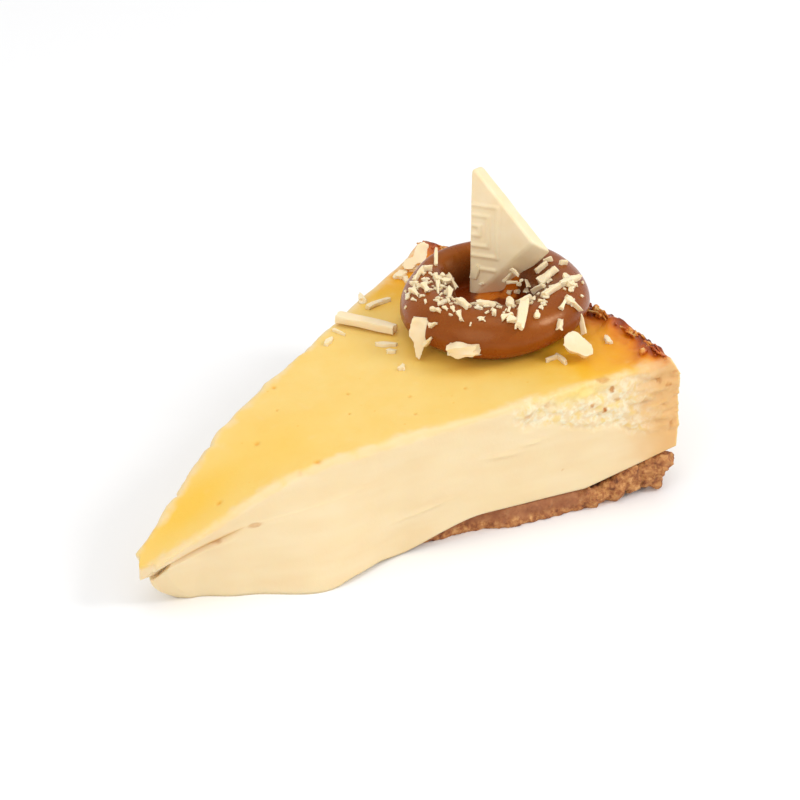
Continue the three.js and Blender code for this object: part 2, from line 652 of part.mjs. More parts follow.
// A broken slab of chocolate that leans away from its front lower edge and just clears the cake. It can be
// made larger all round.
function slabOnCake({ x, y, heading, lean, thickness, outline }, grow = 0) {
  const edge = outline.map(([across, up]) => new THREE.Vector3(across, up, 0));
  const centre = edge
    .reduce((sum, point) => sum.add(point), new THREE.Vector3())
    .divideScalar(edge.length);
  const layer = (z, share) => edge.map((point) => {
    const reach = point.distanceTo(centre);
    return new THREE.Vector3().lerpVectors(centre, point, share * (reach + grow) / reach).setZ(z);
  });
  const turn = degToRad(heading);
  const right = new THREE.Vector3(Math.sin(turn), -Math.cos(turn), 0);
  const upward = new THREE.Vector3(Math.cos(turn), Math.sin(turn), 0)
    .multiplyScalar(Math.cos(degToRad(lean)))
    .setZ(Math.sin(degToRad(lean)));
  const frame = new THREE.Matrix4()
    .makeBasis(right, upward, new THREE.Vector3().crossVectors(right, upward));
  const body = loft([layer(-thickness, SLAB_BACK_SHARE), layer(0, 1)]);
  const lowest = new THREE.Box3().setFromBufferAttribute(
    body.applyMatrix4(frame.setPosition(x, y, 0)).getAttribute('position'),
  ).min.z;
  const place = frame.setPosition(x, y, topHeight(Math.hypot(x, y)) + SLAB_LIFT - lowest);
  return loft([layer(-thickness - grow, SLAB_BACK_SHARE), layer(grow, 1)]).applyMatrix4(place);
}

function fillingSolid() {
  const slivers = CAKE_SLIVERS.map((sliver, i) => {
    const seed = SLIVER.seed + i;
    return chipOnCake({ ...SLIVER, ...sliver, seed });
  });
  return joined(toSolid(fillingGeometry()), slivers);
}

const slice = new THREE.Group();

function addPiece(name, geometry, material) {
  const mesh = new THREE.Mesh(geometry, material);
  mesh.name = name;
  slice.add(mesh);
}

addPiece('biscuit_base', baseGeometry(), MATERIALS.biscuit);
addPiece('cheese_filling', toGeometry(fillingSolid()), MATERIALS.filling);
addPiece('caramel_ring', toGeometry(ringSolid()), MATERIALS.caramel);
addPiece('white_chocolate_triangle', toGeometry(triangleSolid()), MATERIALS.chocolate);
addPiece('chocolate_stick', chipOnCake(STICK), MATERIALS.chocolate);
for (const [name, slab] of Object.entries(SLABS)) {
  addPiece(name, slabOnCake(slab), MATERIALS.chocolate);
}

// The origin goes to the middle of the underside
const box = new THREE.Box3().setFromObject(slice);
const middle = box.getCenter(new THREE.Vector3());
slice.position.set(-middle.x, -middle.y, -box.min.z);
slice.updateMatrixWorld(true);

export default slice;
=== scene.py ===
"""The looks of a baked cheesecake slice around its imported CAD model.

Shapes are worked out in millimetres with the point where the two cuts meet at x = 0, y = 0, the slice
running along +X, the visible cut on the -Y side and z = 0 where it lies. They are put in place in metres
in the model's own frame.
"""

from math import asin, cos, hypot, pi, radians, sin, sqrt

import bpy
import numpy as np
from mathutils import Matrix, Vector


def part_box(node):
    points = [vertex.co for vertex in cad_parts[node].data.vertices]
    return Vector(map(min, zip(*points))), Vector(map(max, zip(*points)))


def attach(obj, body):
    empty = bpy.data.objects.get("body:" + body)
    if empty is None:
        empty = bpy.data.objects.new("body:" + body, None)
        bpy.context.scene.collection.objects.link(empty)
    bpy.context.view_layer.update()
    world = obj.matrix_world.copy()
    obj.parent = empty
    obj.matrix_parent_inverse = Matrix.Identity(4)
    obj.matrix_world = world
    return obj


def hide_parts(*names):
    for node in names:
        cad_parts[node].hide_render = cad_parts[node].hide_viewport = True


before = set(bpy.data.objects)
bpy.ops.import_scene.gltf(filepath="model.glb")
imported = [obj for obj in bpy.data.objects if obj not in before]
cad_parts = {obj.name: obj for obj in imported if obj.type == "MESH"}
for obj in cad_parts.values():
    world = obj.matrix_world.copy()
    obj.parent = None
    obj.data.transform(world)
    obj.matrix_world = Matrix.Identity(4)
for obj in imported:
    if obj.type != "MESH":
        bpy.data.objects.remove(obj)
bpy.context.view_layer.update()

# The slice, as in the CAD model
RIM_RADIUS = 128.6
HALF_ANGLE = radians(17.6)
RIM_HEIGHT = 31
TOP_FALL = 0.063
TIP_SAG = 0.4
TIP_SAG_END = 41
TIP_SAG_ROUNDING = 4
RIM_CURVE = 0.0125
RIM_CURVE_HEIGHT = 16
RIM_FOOT_HEIGHT = 9
GAP = 0.3

# Its sagging point: a skin that juts out, a crack below it, and the slumped filling
SKIN_START = 9
CRACK_START = 14
FOOT_START = 17.4
FOOT_OVERHANG = 5.8
FOOT_SPREAD = 5.6
FOOT_GROWS = (27, 45)
FOOT_FADES = (46, 66)
FOOT_NARROWING = 3.2
NARROWING_FADES = (20, 29)
FAR_FOOT_SHARE = 0.4
TIP_BLUNTNESS = 2.2
TIP_BLUNT_SHARE = 0.12
CRACK_EDGE_HEIGHT = 9.5
CRACK_MIDDLE_HEIGHT = 7.5
CRACK_WIDTH = 0.4
CRACK_DEPTH = 1.4
CRACK_FADE_START = 24
CRACK_END = 31

# The biscuit base, which the filling hangs over near the point
BASE_START = 31
BASE_HEIGHT = 4.8
BASE_RISE_START = 107
BASE_RISE = 0.24
BASE_RIM_RADIUS = 127.3
BASE_FOOT_RADIUS = 124.3
BASE_STEP_LEVEL = 0.65
BASE_INSET = 2.3
BASE_OPEN_INSET = 0.3
DRAPE_START = 60
DRAPE_END = 84
LIP_LIFT = 1.1
LIP_RISES = (45, 52)
LIP_SINKS = (58, 66)

# Stations across the slice: the wall of the hollow over the base, and the inner edge of the hanging lip
HOLLOW_STATION = 0.9
LIP_STATION = 0.95
HOLLOW_INSET = 1.4
LIP_INSET = 1

# The caramel ring and the triangle
RING_CENTRE = (106.9, 1.0)
RING_RADIUS = 14.1
RING_HALF_WIDTH = 6.2
RING_HALF_HEIGHT = 5.8
RING_SINK = 1.35
RING_FLOOR = 2.6
RING_CLEARANCE = 0.45
RING_UNDERCUT = 2
BACK_LIP_SHIFT = 2.4
BACK_LIP_RISES = (radians(25), radians(60))
BACK_LIP_ENDS = (radians(98), radians(124))
TRIANGLE_EDGE = 29.7
TRIANGLE_THICKNESS = 4
TRIANGLE_SLANT = 3.8
TRIANGLE_TIP_SHARE = 0.7
TRIANGLE_ROUNDING = (0.7, 0.6, 2.2)
TRIANGLE_CORNER = (108.24, 10.17, 30.96)
TRIANGLE_RIGHT = (0.326, -0.938, 0.08)
TRIANGLE_UP = (0.136, 0.13, 0.986)
TRIANGLE_BASIS = np.stack([TRIANGLE_RIGHT, TRIANGLE_UP, np.cross(TRIANGLE_RIGHT, TRIANGLE_UP)])
SLAB_BACK_SHARE = 0.8
SLAB_LIFT = 0.5

# The camera, from the photograph
CAMERA_AZIMUTH = radians(-42.88)
CAMERA_ELEVATION = radians(28.89)
CAMERA_TARGET = (79.4, 0.76, 21.2)
CAMERA_DISTANCE = 635
CAMERA_LENS = 137.1

# From the tip's frame to the model's
TIP_X = 1000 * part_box("cheese_filling")[0].x - SKIN_START
TIP_Y = 0.05


# Numbers and noise

def lerp(a, b, t):
    return a + (b - a) * t


def facing(degrees, rise=0.0):
    """A level direction at an angle from +X, or one that rises a little."""
    return np.array([cos(radians(degrees)), sin(radians(degrees)), rise])


def smoothstep(x, low, high):
    t = np.clip((x - low) / (high - low), 0, 1)
    return t * t * (3 - 2 * t)


def between(x, rise, fall):
    """1 between two stretches, the one where it rises from 0 and the one where it falls back to 0."""
    return smoothstep(x, *rise) * (1 - smoothstep(x, *fall))


def fading(distance, reach):
    """1 at no distance, falling evenly to 0 at the reach."""
    return np.clip(1 - distance / reach, 0, 1)


def stacked(*parts):
    """Several rows of numbers side by side, as the columns of one array."""
    return np.stack(parts, axis=1)


def lattice(i, j, k, seed):
    """Repeatable numbers from -1 to 1 at whole-number points."""
    mixed = (i * 73856093) ^ (j * 19349663) ^ (k * 83492791) ^ (seed * 668265263)
    mixed = ((mixed ^ (mixed >> 13)) & 0xFFFFFFFF) * 1274126177
    mixed = (mixed ^ (mixed >> 15)) & 0xFFFFFFFF
    return (mixed & 0xFFFF) / 32767.5 - 1


def noise(points, size, seed=0):
    """Smooth noise from -1 to 1 with features of the given size, which may differ by axis."""
    spots = points / np.asarray(size, float) + 0.37 * seed
    cells = np.floor(spots).astype(np.int64)
    part = spots - cells
    part = part * part * (3 - 2 * part)
    total = np.zeros(len(points))
    for corner in range(8):
        step = [(corner >> axis) & 1 for axis in range(3)]
        weight = np.ones(len(points))
        for axis in range(3):
            weight = weight * (part[:, axis] if step[axis] else 1 - part[:, axis])
        total += weight * lattice(*(cells[:, axis] + step[axis] for axis in range(3)), seed)
    return total


def fractal(points, size, octaves, seed=0):
    size = np.asarray(size, float)
    return sum(noise(points, size / 2**n, seed + 11 * n) / 2**n for n in range(octaves))


# Meshes

def shell(steps, bottom_columns=None):
    """The outside of a box of grid points: each point's three grid numbers, and the faces.

    The underside may have only some of the columns across."""
    last_i, last_j, last_k = steps
    columns = list(range(last_j + 1)) if bottom_columns is None else bottom_columns
    used = np.zeros((last_i + 1, last_j + 1, last_k + 1), bool)
    used[:, :, -1] = used[:, 0, :] = used[:, -1, :] = used[0] = used[-1] = True
    used[:, columns, 0] = True
    ids = np.full(used.shape, -1, np.int64)
    ids[used] = np.arange(used.sum())
    top, near, far = ids[:, :, -1], ids[:, 0, :], ids[:, -1, :]
    under = ids[:, columns, 0]
    faces = [
        grid_faces(top),
        grid_faces(near),
        grid_faces(far.T),
        grid_faces(ids[-1]),
        grid_faces(ids[0].T),
        grid_faces(under.T[:, 1:-1]),
    ]
    for a, b in zip(columns, columns[1:]):
        first = list(ids[0, a : b + 1, 0]) + [ids[1, b, 0], ids[1, a, 0]]
        final = [ids[-2, a, 0], ids[-2, b, 0]] + list(ids[-1, a : b + 1, 0][::-1])
        faces += [np.array([first]), np.array([final])]
    return np.nonzero(used), faces


def grid_faces(ids):
    corners = [ids[:-1, :-1], ids[1:, :-1], ids[1:, 1:], ids[:-1, 1:]]
    return stacked(*(corner.ravel() for corner in corners))


def in_place(points):
    """From millimetres from the tip to metres in the model's frame."""
    return (points + np.array([TIP_X, TIP_Y, 0])) / 1000


def new_object(name, points, faces):
    mesh = bpy.data.meshes.new(name)
    loops = np.concatenate([group.ravel() for group in faces])
    sizes = np.concatenate([np.full(len(group), group.shape[1]) for group in faces])
    mesh.vertices.add(len(points))
    mesh.vertices.foreach_set("co", np.asarray(points, np.float32).ravel())
    mesh.loops.add(len(loops))
    mesh.loops.foreach_set("vertex_index", loops.astype(np.int32))
    mesh.polygons.add(len(sizes))
    mesh.polygons.foreach_set("loop_start", (np.cumsum(sizes) - sizes).astype(np.int32))
    mesh.update(calc_edges=True)
    mesh.validate()
    obj = bpy.data.objects.new(name, mesh)
    bpy.context.scene.collection.objects.link(obj)
    return obj


def add_piece(name, points, faces, material, replaced=(), masks=None, sharp=None):
    obj = new_object(name, in_place(points), faces)
    mesh = obj.data
    mesh.shade_smooth()
    if sharp is not None:
        mesh.set_sharp_from_angle(angle=radians(sharp))
    for mask, values in (masks or {}).items():
        mesh.attributes.new(mask, "FLOAT", "POINT").data.foreach_set("value", values.astype(np.float32))
    mesh.materials.append(material)
    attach(obj, "root")
    if replaced:
        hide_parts(*replaced)
    return obj


def remeshed(parts, voxel):
    """One closed skin round several overlapping closed bodies, as points and quads."""
    points, faces = together(parts)
    obj = new_object("remesh", points, faces)
    modifier = obj.modifiers.new("remesh", "REMESH")
    modifier.mode = "VOXEL"
    modifier.voxel_size = voxel
    mesh = obj.evaluated_get(bpy.context.evaluated_depsgraph_get()).to_mesh()
    skin = np.empty(3 * len(mesh.vertices), np.float32)
    mesh.vertices.foreach_get("co", skin)
    quads = np.empty(len(mesh.loops), np.int32)
    mesh.loops.foreach_get("vertex_index", quads)
    bpy.data.objects.remove(obj)
    return skin.reshape(-1, 3).astype(float), quads.reshape(-1, 4).astype(np.int64)


def together(parts):
    """Several (points, faces) as one."""
    points, faces, start = [], [], 0
    for some_points, some_faces in parts:
        points.append(some_points)
        faces += [group + start for group in some_faces]
        start += len(some_points)
    return np.concatenate(points), faces


def smoothed(points, quads, rounds, weight=0.5):
    starts = quads.ravel()
    ends = np.roll(quads, -1, axis=1).ravel()
    count = np.bincount(starts, minlength=len(points))
    for _ in range(rounds):
        sums = (np.bincount(starts, points[ends, axis], len(points)) for axis in range(3))
        points = lerp(points, stacked(*sums) / count[:, None], weight)
    return points


def normals(points, quads):
    across = points[quads[:, 2]] - points[quads[:, 0]]
    along = points[quads[:, 3]] - points[quads[:, 1]]
    crossed = np.cross(across, along)
    total = np.zeros_like(points)
    for corner in range(4):
        for axis in range(3):
            total[:, axis] += np.bincount(quads[:, corner], crossed[:, axis], len(points))
    return total / np.maximum(np.linalg.norm(total, axis=1, keepdims=True), 1e-12)


# Forms shared with the CAD model

def top_height(radius):
    sag = TIP_SAG * TIP_SAG_ROUNDING
    return RIM_HEIGHT - TOP_FALL * (RIM_RADIUS - radius) - sag * np.log1p(
        np.exp((TIP_SAG_END - radius) / TIP_SAG_ROUNDING)
    )


def base_top(radius):
    return BASE_HEIGHT + BASE_RISE * np.maximum(0, radius - BASE_RISE_START)


def lower_edge(radius):
    lift = LIP_LIFT * between(radius, LIP_RISES, LIP_SINKS)
    return lift + smoothstep(radius, DRAPE_START, DRAPE_END) * (base_top(radius) + GAP)


def crack_height(radius, share):
    edge = CRACK_EDGE_HEIGHT + 0.3 * (np.minimum(radius, CRACK_END) - SKIN_START)
    height = lerp(CRACK_MIDDLE_HEIGHT, edge, np.abs(share) ** 1.5)
    return height + 0.12 * np.maximum(0, radius - CRACK_END)


def spread(radius, share, level):
    foot = FOOT_SPREAD * between(radius, FOOT_GROWS, FOOT_FADES)
    nose = FOOT_NARROWING * (1 - smoothstep(radius, *NARROWING_FADES))
    return (np.where(share < 0, 1, FAR_FOOT_SHARE) * foot - nose) * np.maximum(1 - level, 0) ** 1.5


def rim_radius(height):
    return RIM_RADIUS - RIM_CURVE * (height - RIM_CURVE_HEIGHT) ** 2


def sideways(radius, share, level):
    half = radius * sin(HALF_ANGLE)
    wall = half + spread(radius, share, level)
    size = np.abs(share)
    hollow = np.minimum(half - HOLLOW_INSET, HOLLOW_STATION * wall)
    lip = np.minimum(half - LIP_INSET, LIP_STATION * wall)
    inner = hollow * size / HOLLOW_STATION
    middle = lerp(hollow, lip, (size - HOLLOW_STATION) / 0.05)
    outer = lerp(lip, wall, (size - LIP_STATION) / 0.05)
    distance = np.where(size <= HOLLOW_STATION, inner, np.where(size <= LIP_STATION, middle, outer))
    return np.sign(share) * distance, wall - distance


# The filling

FILLING_STEPS = (290, 110, 69)
UNDER_CRACK, IN_CRACK, OVER_CRACK = 0.54, 0.6, 0.66


def filling_shares():
    inner = np.linspace(-HOLLOW_STATION, HOLLOW_STATION, 101)
    outer = np.array([0.925, LIP_STATION, 0.97, 0.985, 1])
    shares = np.concatenate([-outer[::-1], inner, outer])
    columns = [0, 3, *range(5, 106, 10), 107, 110]
    return shares, columns


def filling_levels(floor_radius):
    """Levels of the rows at each station: close together round the crack, even in height beyond it."""
    tip = np.concatenate([
        np.linspace(0, UNDER_CRACK, 23)[:-1],
        np.linspace(UNDER_CRACK, IN_CRACK, 9)[:-1],
        np.linspace(IN_CRACK, OVER_CRACK, 13)[:-1],
        np.linspace(OVER_CRACK, 1, 28),
    ])
    radius = floor_radius[:, None]
    floor, top, crack = lower_edge(radius), top_height(radius), crack_height(radius, 1)
    height = lerp(floor, top, np.linspace(0, 1, len(tip))[None, :])
    below = IN_CRACK * (height - floor) / (crack - CRACK_WIDTH - floor)
    inside = IN_CRACK + (OVER_CRACK - IN_CRACK) * (height - crack + CRACK_WIDTH) / CRACK_WIDTH
    above = OVER_CRACK + (1 - OVER_CRACK) * (height - crack) / (top - crack)
    even = np.where(height < crack - CRACK_WIDTH, below, np.where(height < crack, inside, above))
    return lerp(tip[None, :], even, smoothstep(radius, 34, 50))


def tip_start(level):
    below = FOOT_START - FOOT_OVERHANG * np.sin(0.5 * pi * np.clip(level / UNDER_CRACK, 0, 1))
    low_lip = lerp(FOOT_START - FOOT_OVERHANG, CRACK_START, (level - UNDER_CRACK) / (IN_CRACK - UNDER_CRACK))
    high_lip = lerp(CRACK_START, SKIN_START, (level - IN_CRACK) / (OVER_CRACK - IN_CRACK))
    start = np.where(level < UNDER_CRACK, below, np.where(level < IN_CRACK, low_lip, high_lip))
    return np.where(level >= OVER_CRACK, SKIN_START, start)


def near_cut(x, y):
    """Distance inward from the plane of the near cut."""
    return y * cos(HALF_ANGLE) + x * sin(HALF_ANGLE)


def bump(u, v, spot, size):
    """A soft round or long bump of height 1 at a spot."""
    return np.exp(-(((u - spot[0]) / size[0]) ** 2) - ((v - spot[1]) / size[1]) ** 2)


def broken_zone(radius, height, points):
    """Where the near cut is broken and crumbly instead of smooth."""
    edge = 23 - 0.25 * (radius - 91) + 1.6 * noise(points, 5, 31) + 0.8 * noise(points, 1.8, 32)
    inside = smoothstep(height - edge, -0.6, 1.2)
    return inside * smoothstep(radius, 86, 94) * (1 - 0.4 * smoothstep(height, 27, 29))


def knife_marks(flat, seed):
    """Fine streaks that the knife left along a cut."""
    return 0.05 * noise(flat, (15, 1.6, 1), seed) + 0.02 * noise(flat, (6, 0.7, 1), seed + 1)


def near_relief(radius, height):
    """How far the near cut stands out of its plane, and where it is broken."""
    flat = stacked(radius, height, np.zeros_like(radius))
    broken = broken_zone(radius, height, flat)
    waves = knife_marks(flat, 21) + 0.26 * noise(flat, (16, 9, 1), 23)
    step = -0.2 * between(radius, (56.5, 59.5), (60, 76)) * smoothstep(height, 14, 17)
    smears = (
        0.5 * bump(radius, height - 0.1 * (radius - 94), (94.1, 19.3), (2.2, 0.4))
        + 0.55 * bump(radius, height + 0.05 * (radius - 87), (87.5, 17.9), (3.4, 0.45))
        + 0.6 * bump(radius, height - 0.16 * (radius - 68), (68.3, 9.5), (5, 0.5))
    )
    crumbs = 0.62 * fractal(flat, (3.2, 1.9, 1), 4, 24) - 0.2
    crumbs = crumbs - 0.35 * smoothstep(noise(flat, (2.2, 1.4, 1), 25), 0.25, 0.6)
    pits = -0.8 * bump(radius, height, (118.8, 22.1), (2.2, 0.8))
    pits = pits - 0.7 * bump(radius, height, (109.2, 26.7), (1.8, 0.7))
    return waves + step + smears + broken * (crumbs + pits), broken


def far_relief(radius, height):
    flat = stacked(radius, height, np.ones_like(radius))
    rough = 0.4 * fractal(flat, 3, 3, 43) * smoothstep(noise(flat, 14, 44), 0.1, 0.5)
    notches = -0.7 * bump(radius, height, (37.9, 22.5), (0.6, 2))
    notches = notches - 0.7 * bump(radius, height, (25.1, 16.9), (0.5, 2))
    return knife_marks(flat, 41) + 0.3 * noise(flat, (16, 9, 1), 45) + rough + notches


def top_relief(points, from_ring):
    radius = np.hypot(points[:, 0], points[:, 1])
    flat = points * [1, 1, 0]
    height = 0.16 * noise(flat, 13, 51) + 0.05 * noise(flat, 3.5, 52)
    for x, y, size in PORES:
        height = height - 0.3 * bump(points[:, 0], points[:, 1], (x, y), (size, size))
    crust = smoothstep(radius, 112, 122)
    height = height + crust * (0.16 * noise(flat, 1.6, 53) + 0.1 * noise(flat, 0.8, 54))
    crags = smoothstep(radius + 1.2 * noise(flat, 3, 55), 118, 126.5) * smoothstep(from_ring, 21.5, 25)
    return height + crags * (0.4 + 1.5 * np.abs(noise(flat, 5, 56)) + 0.6 * noise(flat, 1.5, 57))


PORES = [
    (57.4, 15.3, 0.45), (41.7, 2.4, 0.5), (44.9, -12.5, 0.7), (40.6, -12, 0.45), (27.1, -3, 0.45),
    (74, -8, 0.3), (66, 2, 0.3), (70, -14, 0.3), (52, 8, 0.25), (84, -14, 0.3), (61, -4, 0.25),
]


def filling_points(station, share, level):
    """Where the plain form of the filling is, with its distance from the nearer cut."""
    floor_radius = lerp(FOOT_START, RIM_RADIUS, station)
    blunt = TIP_BLUNTNESS * share**2 * (1 - smoothstep(station, 0, TIP_BLUNT_SHARE))
    radius = lerp(FOOT_START + blunt, rim_radius(lerp(RIM_FOOT_HEIGHT, RIM_HEIGHT, level)), station)
    radius = radius + (tip_start(level) - FOOT_START) * (1 - smoothstep(floor_radius, FOOT_START, 52))
    y, inward = sideways(radius, share, level)
    x = np.sqrt(radius**2 - y**2)
    crack_depth = CRACK_DEPTH * (1 - smoothstep(radius, CRACK_FADE_START, CRACK_END))
    opened = 1 - np.clip(np.abs(level - IN_CRACK) / (OVER_CRACK - IN_CRACK), 0, 1)
    y = y - np.sign(share) * np.abs(share) * crack_depth * opened
    crack, top = crack_height(radius, share), top_height(radius)
    over_base = (np.abs(share) <= HOLLOW_STATION) & (floor_radius > BASE_START - 2 * GAP)
    on_base = over_base | (floor_radius > DRAPE_END)
    floor = np.where(on_base, base_top(floor_radius) + GAP, lower_edge(floor_radius))
    below = lerp(floor, crack - CRACK_WIDTH, level / IN_CRACK)
    inside = lerp(crack - CRACK_WIDTH, crack, (level - IN_CRACK) / (OVER_CRACK - IN_CRACK))
    above = lerp(crack, top, (level - OVER_CRACK) / (1 - OVER_CRACK))
    z = np.where(level < IN_CRACK, below, np.where(level < OVER_CRACK, inside, above))
    return stacked(x, y, z), radius, inward


def make_filling(material):
    shares, columns = filling_shares()
    floor_radii = np.linspace(FOOT_START, RIM_RADIUS, FILLING_STEPS[0] + 1)
    stations = (floor_radii - FOOT_START) / (RIM_RADIUS - FOOT_START)
    (i, j, k), faces = shell(FILLING_STEPS, columns)
    levels = filling_levels(floor_radii)[i, k]
    points, radius, inward = filling_points(stations[i], shares[j], levels)
    top = top_height(radius)
    below_top = top - points[:, 2]
    from_ring = from_ring_centre(points[:, 0], points[:, 1])
    is_near = points[:, 1] < 0

    # The top edge is rounded, unevenly
    uneven = 1 + 0.7 * noise(points, 4, 61)
    rounding = 0.42 * uneven
    points[:, 2] -= rounding * fading(inward, 1.2) ** 2 * fading(below_top, 3)
    tuck = rounding * fading(below_top, 1.3) ** 2 * fading(inward, 3)

    # Relief on the two cuts, the rim and the top, each fading inward
    near_side, broken = near_relief(radius, points[:, 2])
    far_side = far_relief(radius, points[:, 2])
    outward = np.where(is_near, near_side, far_side) - tuck
    outward = outward * fading(inward, 5) * smoothstep(radius, 8, 24)
    outward = outward * smoothstep(points[:, 2], 0.2, 3)
    points[:, 0] -= outward * sin(HALF_ANGLE)
    points[:, 1] += np.where(is_near, -1, 1) * outward * cos(HALF_ANGLE)
    swell = 0.3 * noise(points, 5, 62) + 0.16 * noise(points, 1.6, 63) - 0.1
    points[:, 0] += fading(rim_radius(points[:, 2]) - radius, 5) * swell
    points[:, 2] += top_relief(points, from_ring) * fading(below_top, 6)

    masks = filling_masks(points, radius, inward, below_top, broken * is_near, i == FILLING_STEPS[0])
    add_piece("cheese_filling_body", points, faces, material, ["cheese_filling"], masks)


def filling_masks(points, radius, inward, below_top, broken, is_rim):
    x, y, z = points.T
    flat = points * [1, 1, 0]
    wobble = noise(points, 2.2, 71)
    # the skin wears thin at the cuts and ends just below the edge
    skin = 1 - smoothstep(below_top + 0.5 * wobble, 0.25, 1.3)
    worn = smoothstep(inward + 1.1 * noise(points, 3, 72) + 0.6 * noise(points, 1.1, 76), 0.0, 2.6)
    skin = skin * lerp(0.25, 1, worn)
    # browning grows to the rim, and starts sooner on the side away from the visible cut
    warped = radius + 2.2 * noise(flat, 8, 73) + 1.3 * noise(flat, 2.4, 74) + 0.6 * noise(flat, 1, 77)
    from_near = near_cut(x, y)
    warped = warped + 6 * smoothstep(from_near, 34, 60) * (1 - smoothstep(radius, 106, 120))
    brown = np.interp(warped, *BROWNING)
    brown = brown * lerp(0.6, 1, smoothstep(from_near + noise(points, 3, 78), 0.5, 5))
    brown = brown * (1 - smoothstep(below_top + 0.8 * wobble, 0.8, 3.2))
    tip_glow = bump(x, y, (22.6, 2.2), (10, 5)) + 0.5 * bump(x, y, (42, -2), (16, 9))
    # specks on the near cut; the first two rows of the table lie along the crack and paint shade there
    stain = np.zeros(len(points))
    on_near = (y < 0) & (inward < 2)
    for spot in CUT_STAINS_AND_CRACK_SHADE:
        mark = bump(radius, z, spot[:2], (spot[2], spot[3])) * (1 + 0.5 * noise(points, 0.9, 75))
        stain = np.maximum(stain, spot[4] * smoothstep(mark, 0.35, 0.7) * on_near)
    yellow = bump(radius, z, (104, 28), (7, 1.6)) * on_near
    # painted shade along the crack under the jutting skin
    crack_line = np.exp(-(((z - crack_height(radius, 1) + 0.3) / 0.5) ** 2))
    crack_line = crack_line * between(radius, (14, 18), (25, 31))
    tan = smoothstep(radius + 1.5 * wobble, 113, 126) * (y < 0) * (inward < 2)
    pore = sum(bump(x, y, spot[:2], (spot[2], spot[2])) for spot in PORES) * (below_top < 1)
    # painted light: the skin round the ring is made brighter and more yellow to lift the shade the ring
    # casts
    round_ring = 1 - smoothstep(from_ring_centre(x, y), 16.5, 27)
    return dict(
        crack_line=crack_line * (inward < 3), tan=tan, pore=np.clip(pore, 0, 1), skin=skin, brown=brown,
        broken=broken, tip_glow=tip_glow, round_ring=round_ring, stain=stain, yellow=yellow,
        outside=is_rim.astype(float),
    )


# How brown the top is at a distance from the tip
BROWNING = (
    [86, 98, 104, 109, 114, 118, 120, 121.5, 122.6, 123.6, 124.6, 125.8],
    [0, 0.04, 0.1, 0.16, 0.22, 0.29, 0.35, 0.46, 0.58, 0.74, 0.9, 1],
)

# Specks and stains on the near cut, and in the first two rows painted shade along the crack: distance along
# it, height, half length, half height, strength
CUT_STAINS_AND_CRACK_SHADE = [
    (24.5, 13.2, 1.6, 0.5, 0.45), (32.5, 15.6, 2.2, 0.6, 0.5),
    (110, 29.8, 1.5, 0.6, 0.7), (112.2, 27.2, 0.6, 0.9, 0.9), (107.4, 24.8, 0.6, 0.6, 0.8),
    (110.5, 22.9, 0.5, 1.0, 1.0), (125.5, 25.5, 1.1, 0.6, 0.8), (123.5, 26.6, 0.6, 0.7, 0.8),
    (126.7, 15.5, 0.8, 1.2, 0.6), (113.5, 24.6, 0.8, 0.6, 0.7), (101, 11, 0.5, 0.4, 0.5),
    (127, 28.4, 0.8, 0.5, 0.6), (93, 25.5, 1.3, 0.7, 0.35), (97, 27.0, 1.0, 0.8, 0.3),
]


# The biscuit base

BASE_SIDE_CRUMBS = 520
BASE_RIM_CRUMBS = 300
BASE_GRAIN = 0.34


def base_rim(height):
    """The radius of the base's rim, which juts out over its foot."""
    return np.where(height > BASE_STEP_LEVEL * base_top(126), BASE_RIM_RADIUS, BASE_FOOT_RADIUS)


def base_points(station, share, level):
    height = base_top(lerp(BASE_START, BASE_RIM_RADIUS, station)) * level
    rim = np.where(level > BASE_STEP_LEVEL, BASE_RIM_RADIUS, BASE_FOOT_RADIUS)
    radius = lerp(BASE_START, rim, station)
    inset = lerp(BASE_INSET, BASE_OPEN_INSET, smoothstep(radius, DRAPE_END - 1, DRAPE_END + 5))
    # towards the rim it is narrower, and loose crumbs fill it out
    inset = inset + 2.3 * smoothstep(radius, 104, 108)
    y = radius * np.sin(share * HALF_ANGLE) - np.sign(share) * np.abs(share) * inset
    x = np.sqrt(radius**2 - y**2) - 2.2 * (station > 0.99)
    return stacked(x, y, height)


def crumb(random, centre, size):
    """A lump of biscuit: a rough ball with flattened sides."""
    (i, j, k), faces = shell((3, 3, 3))
    cube = stacked(i, j, k) / 1.5 - 1
    ball = cube / np.linalg.norm(cube, axis=1, keepdims=True)
    rough = lerp(cube, ball, 0.7) * (1 + 0.25 * random.uniform(-1, 1, (len(cube), 1)))
    turn = Matrix.Rotation(random.uniform(0, 6.28), 3, Vector(random.normal(size=3)).normalized())
    stretch = random.uniform(0.7, 1.3, 3)
    return rough * stretch * size @ np.array(turn).T + centre, faces


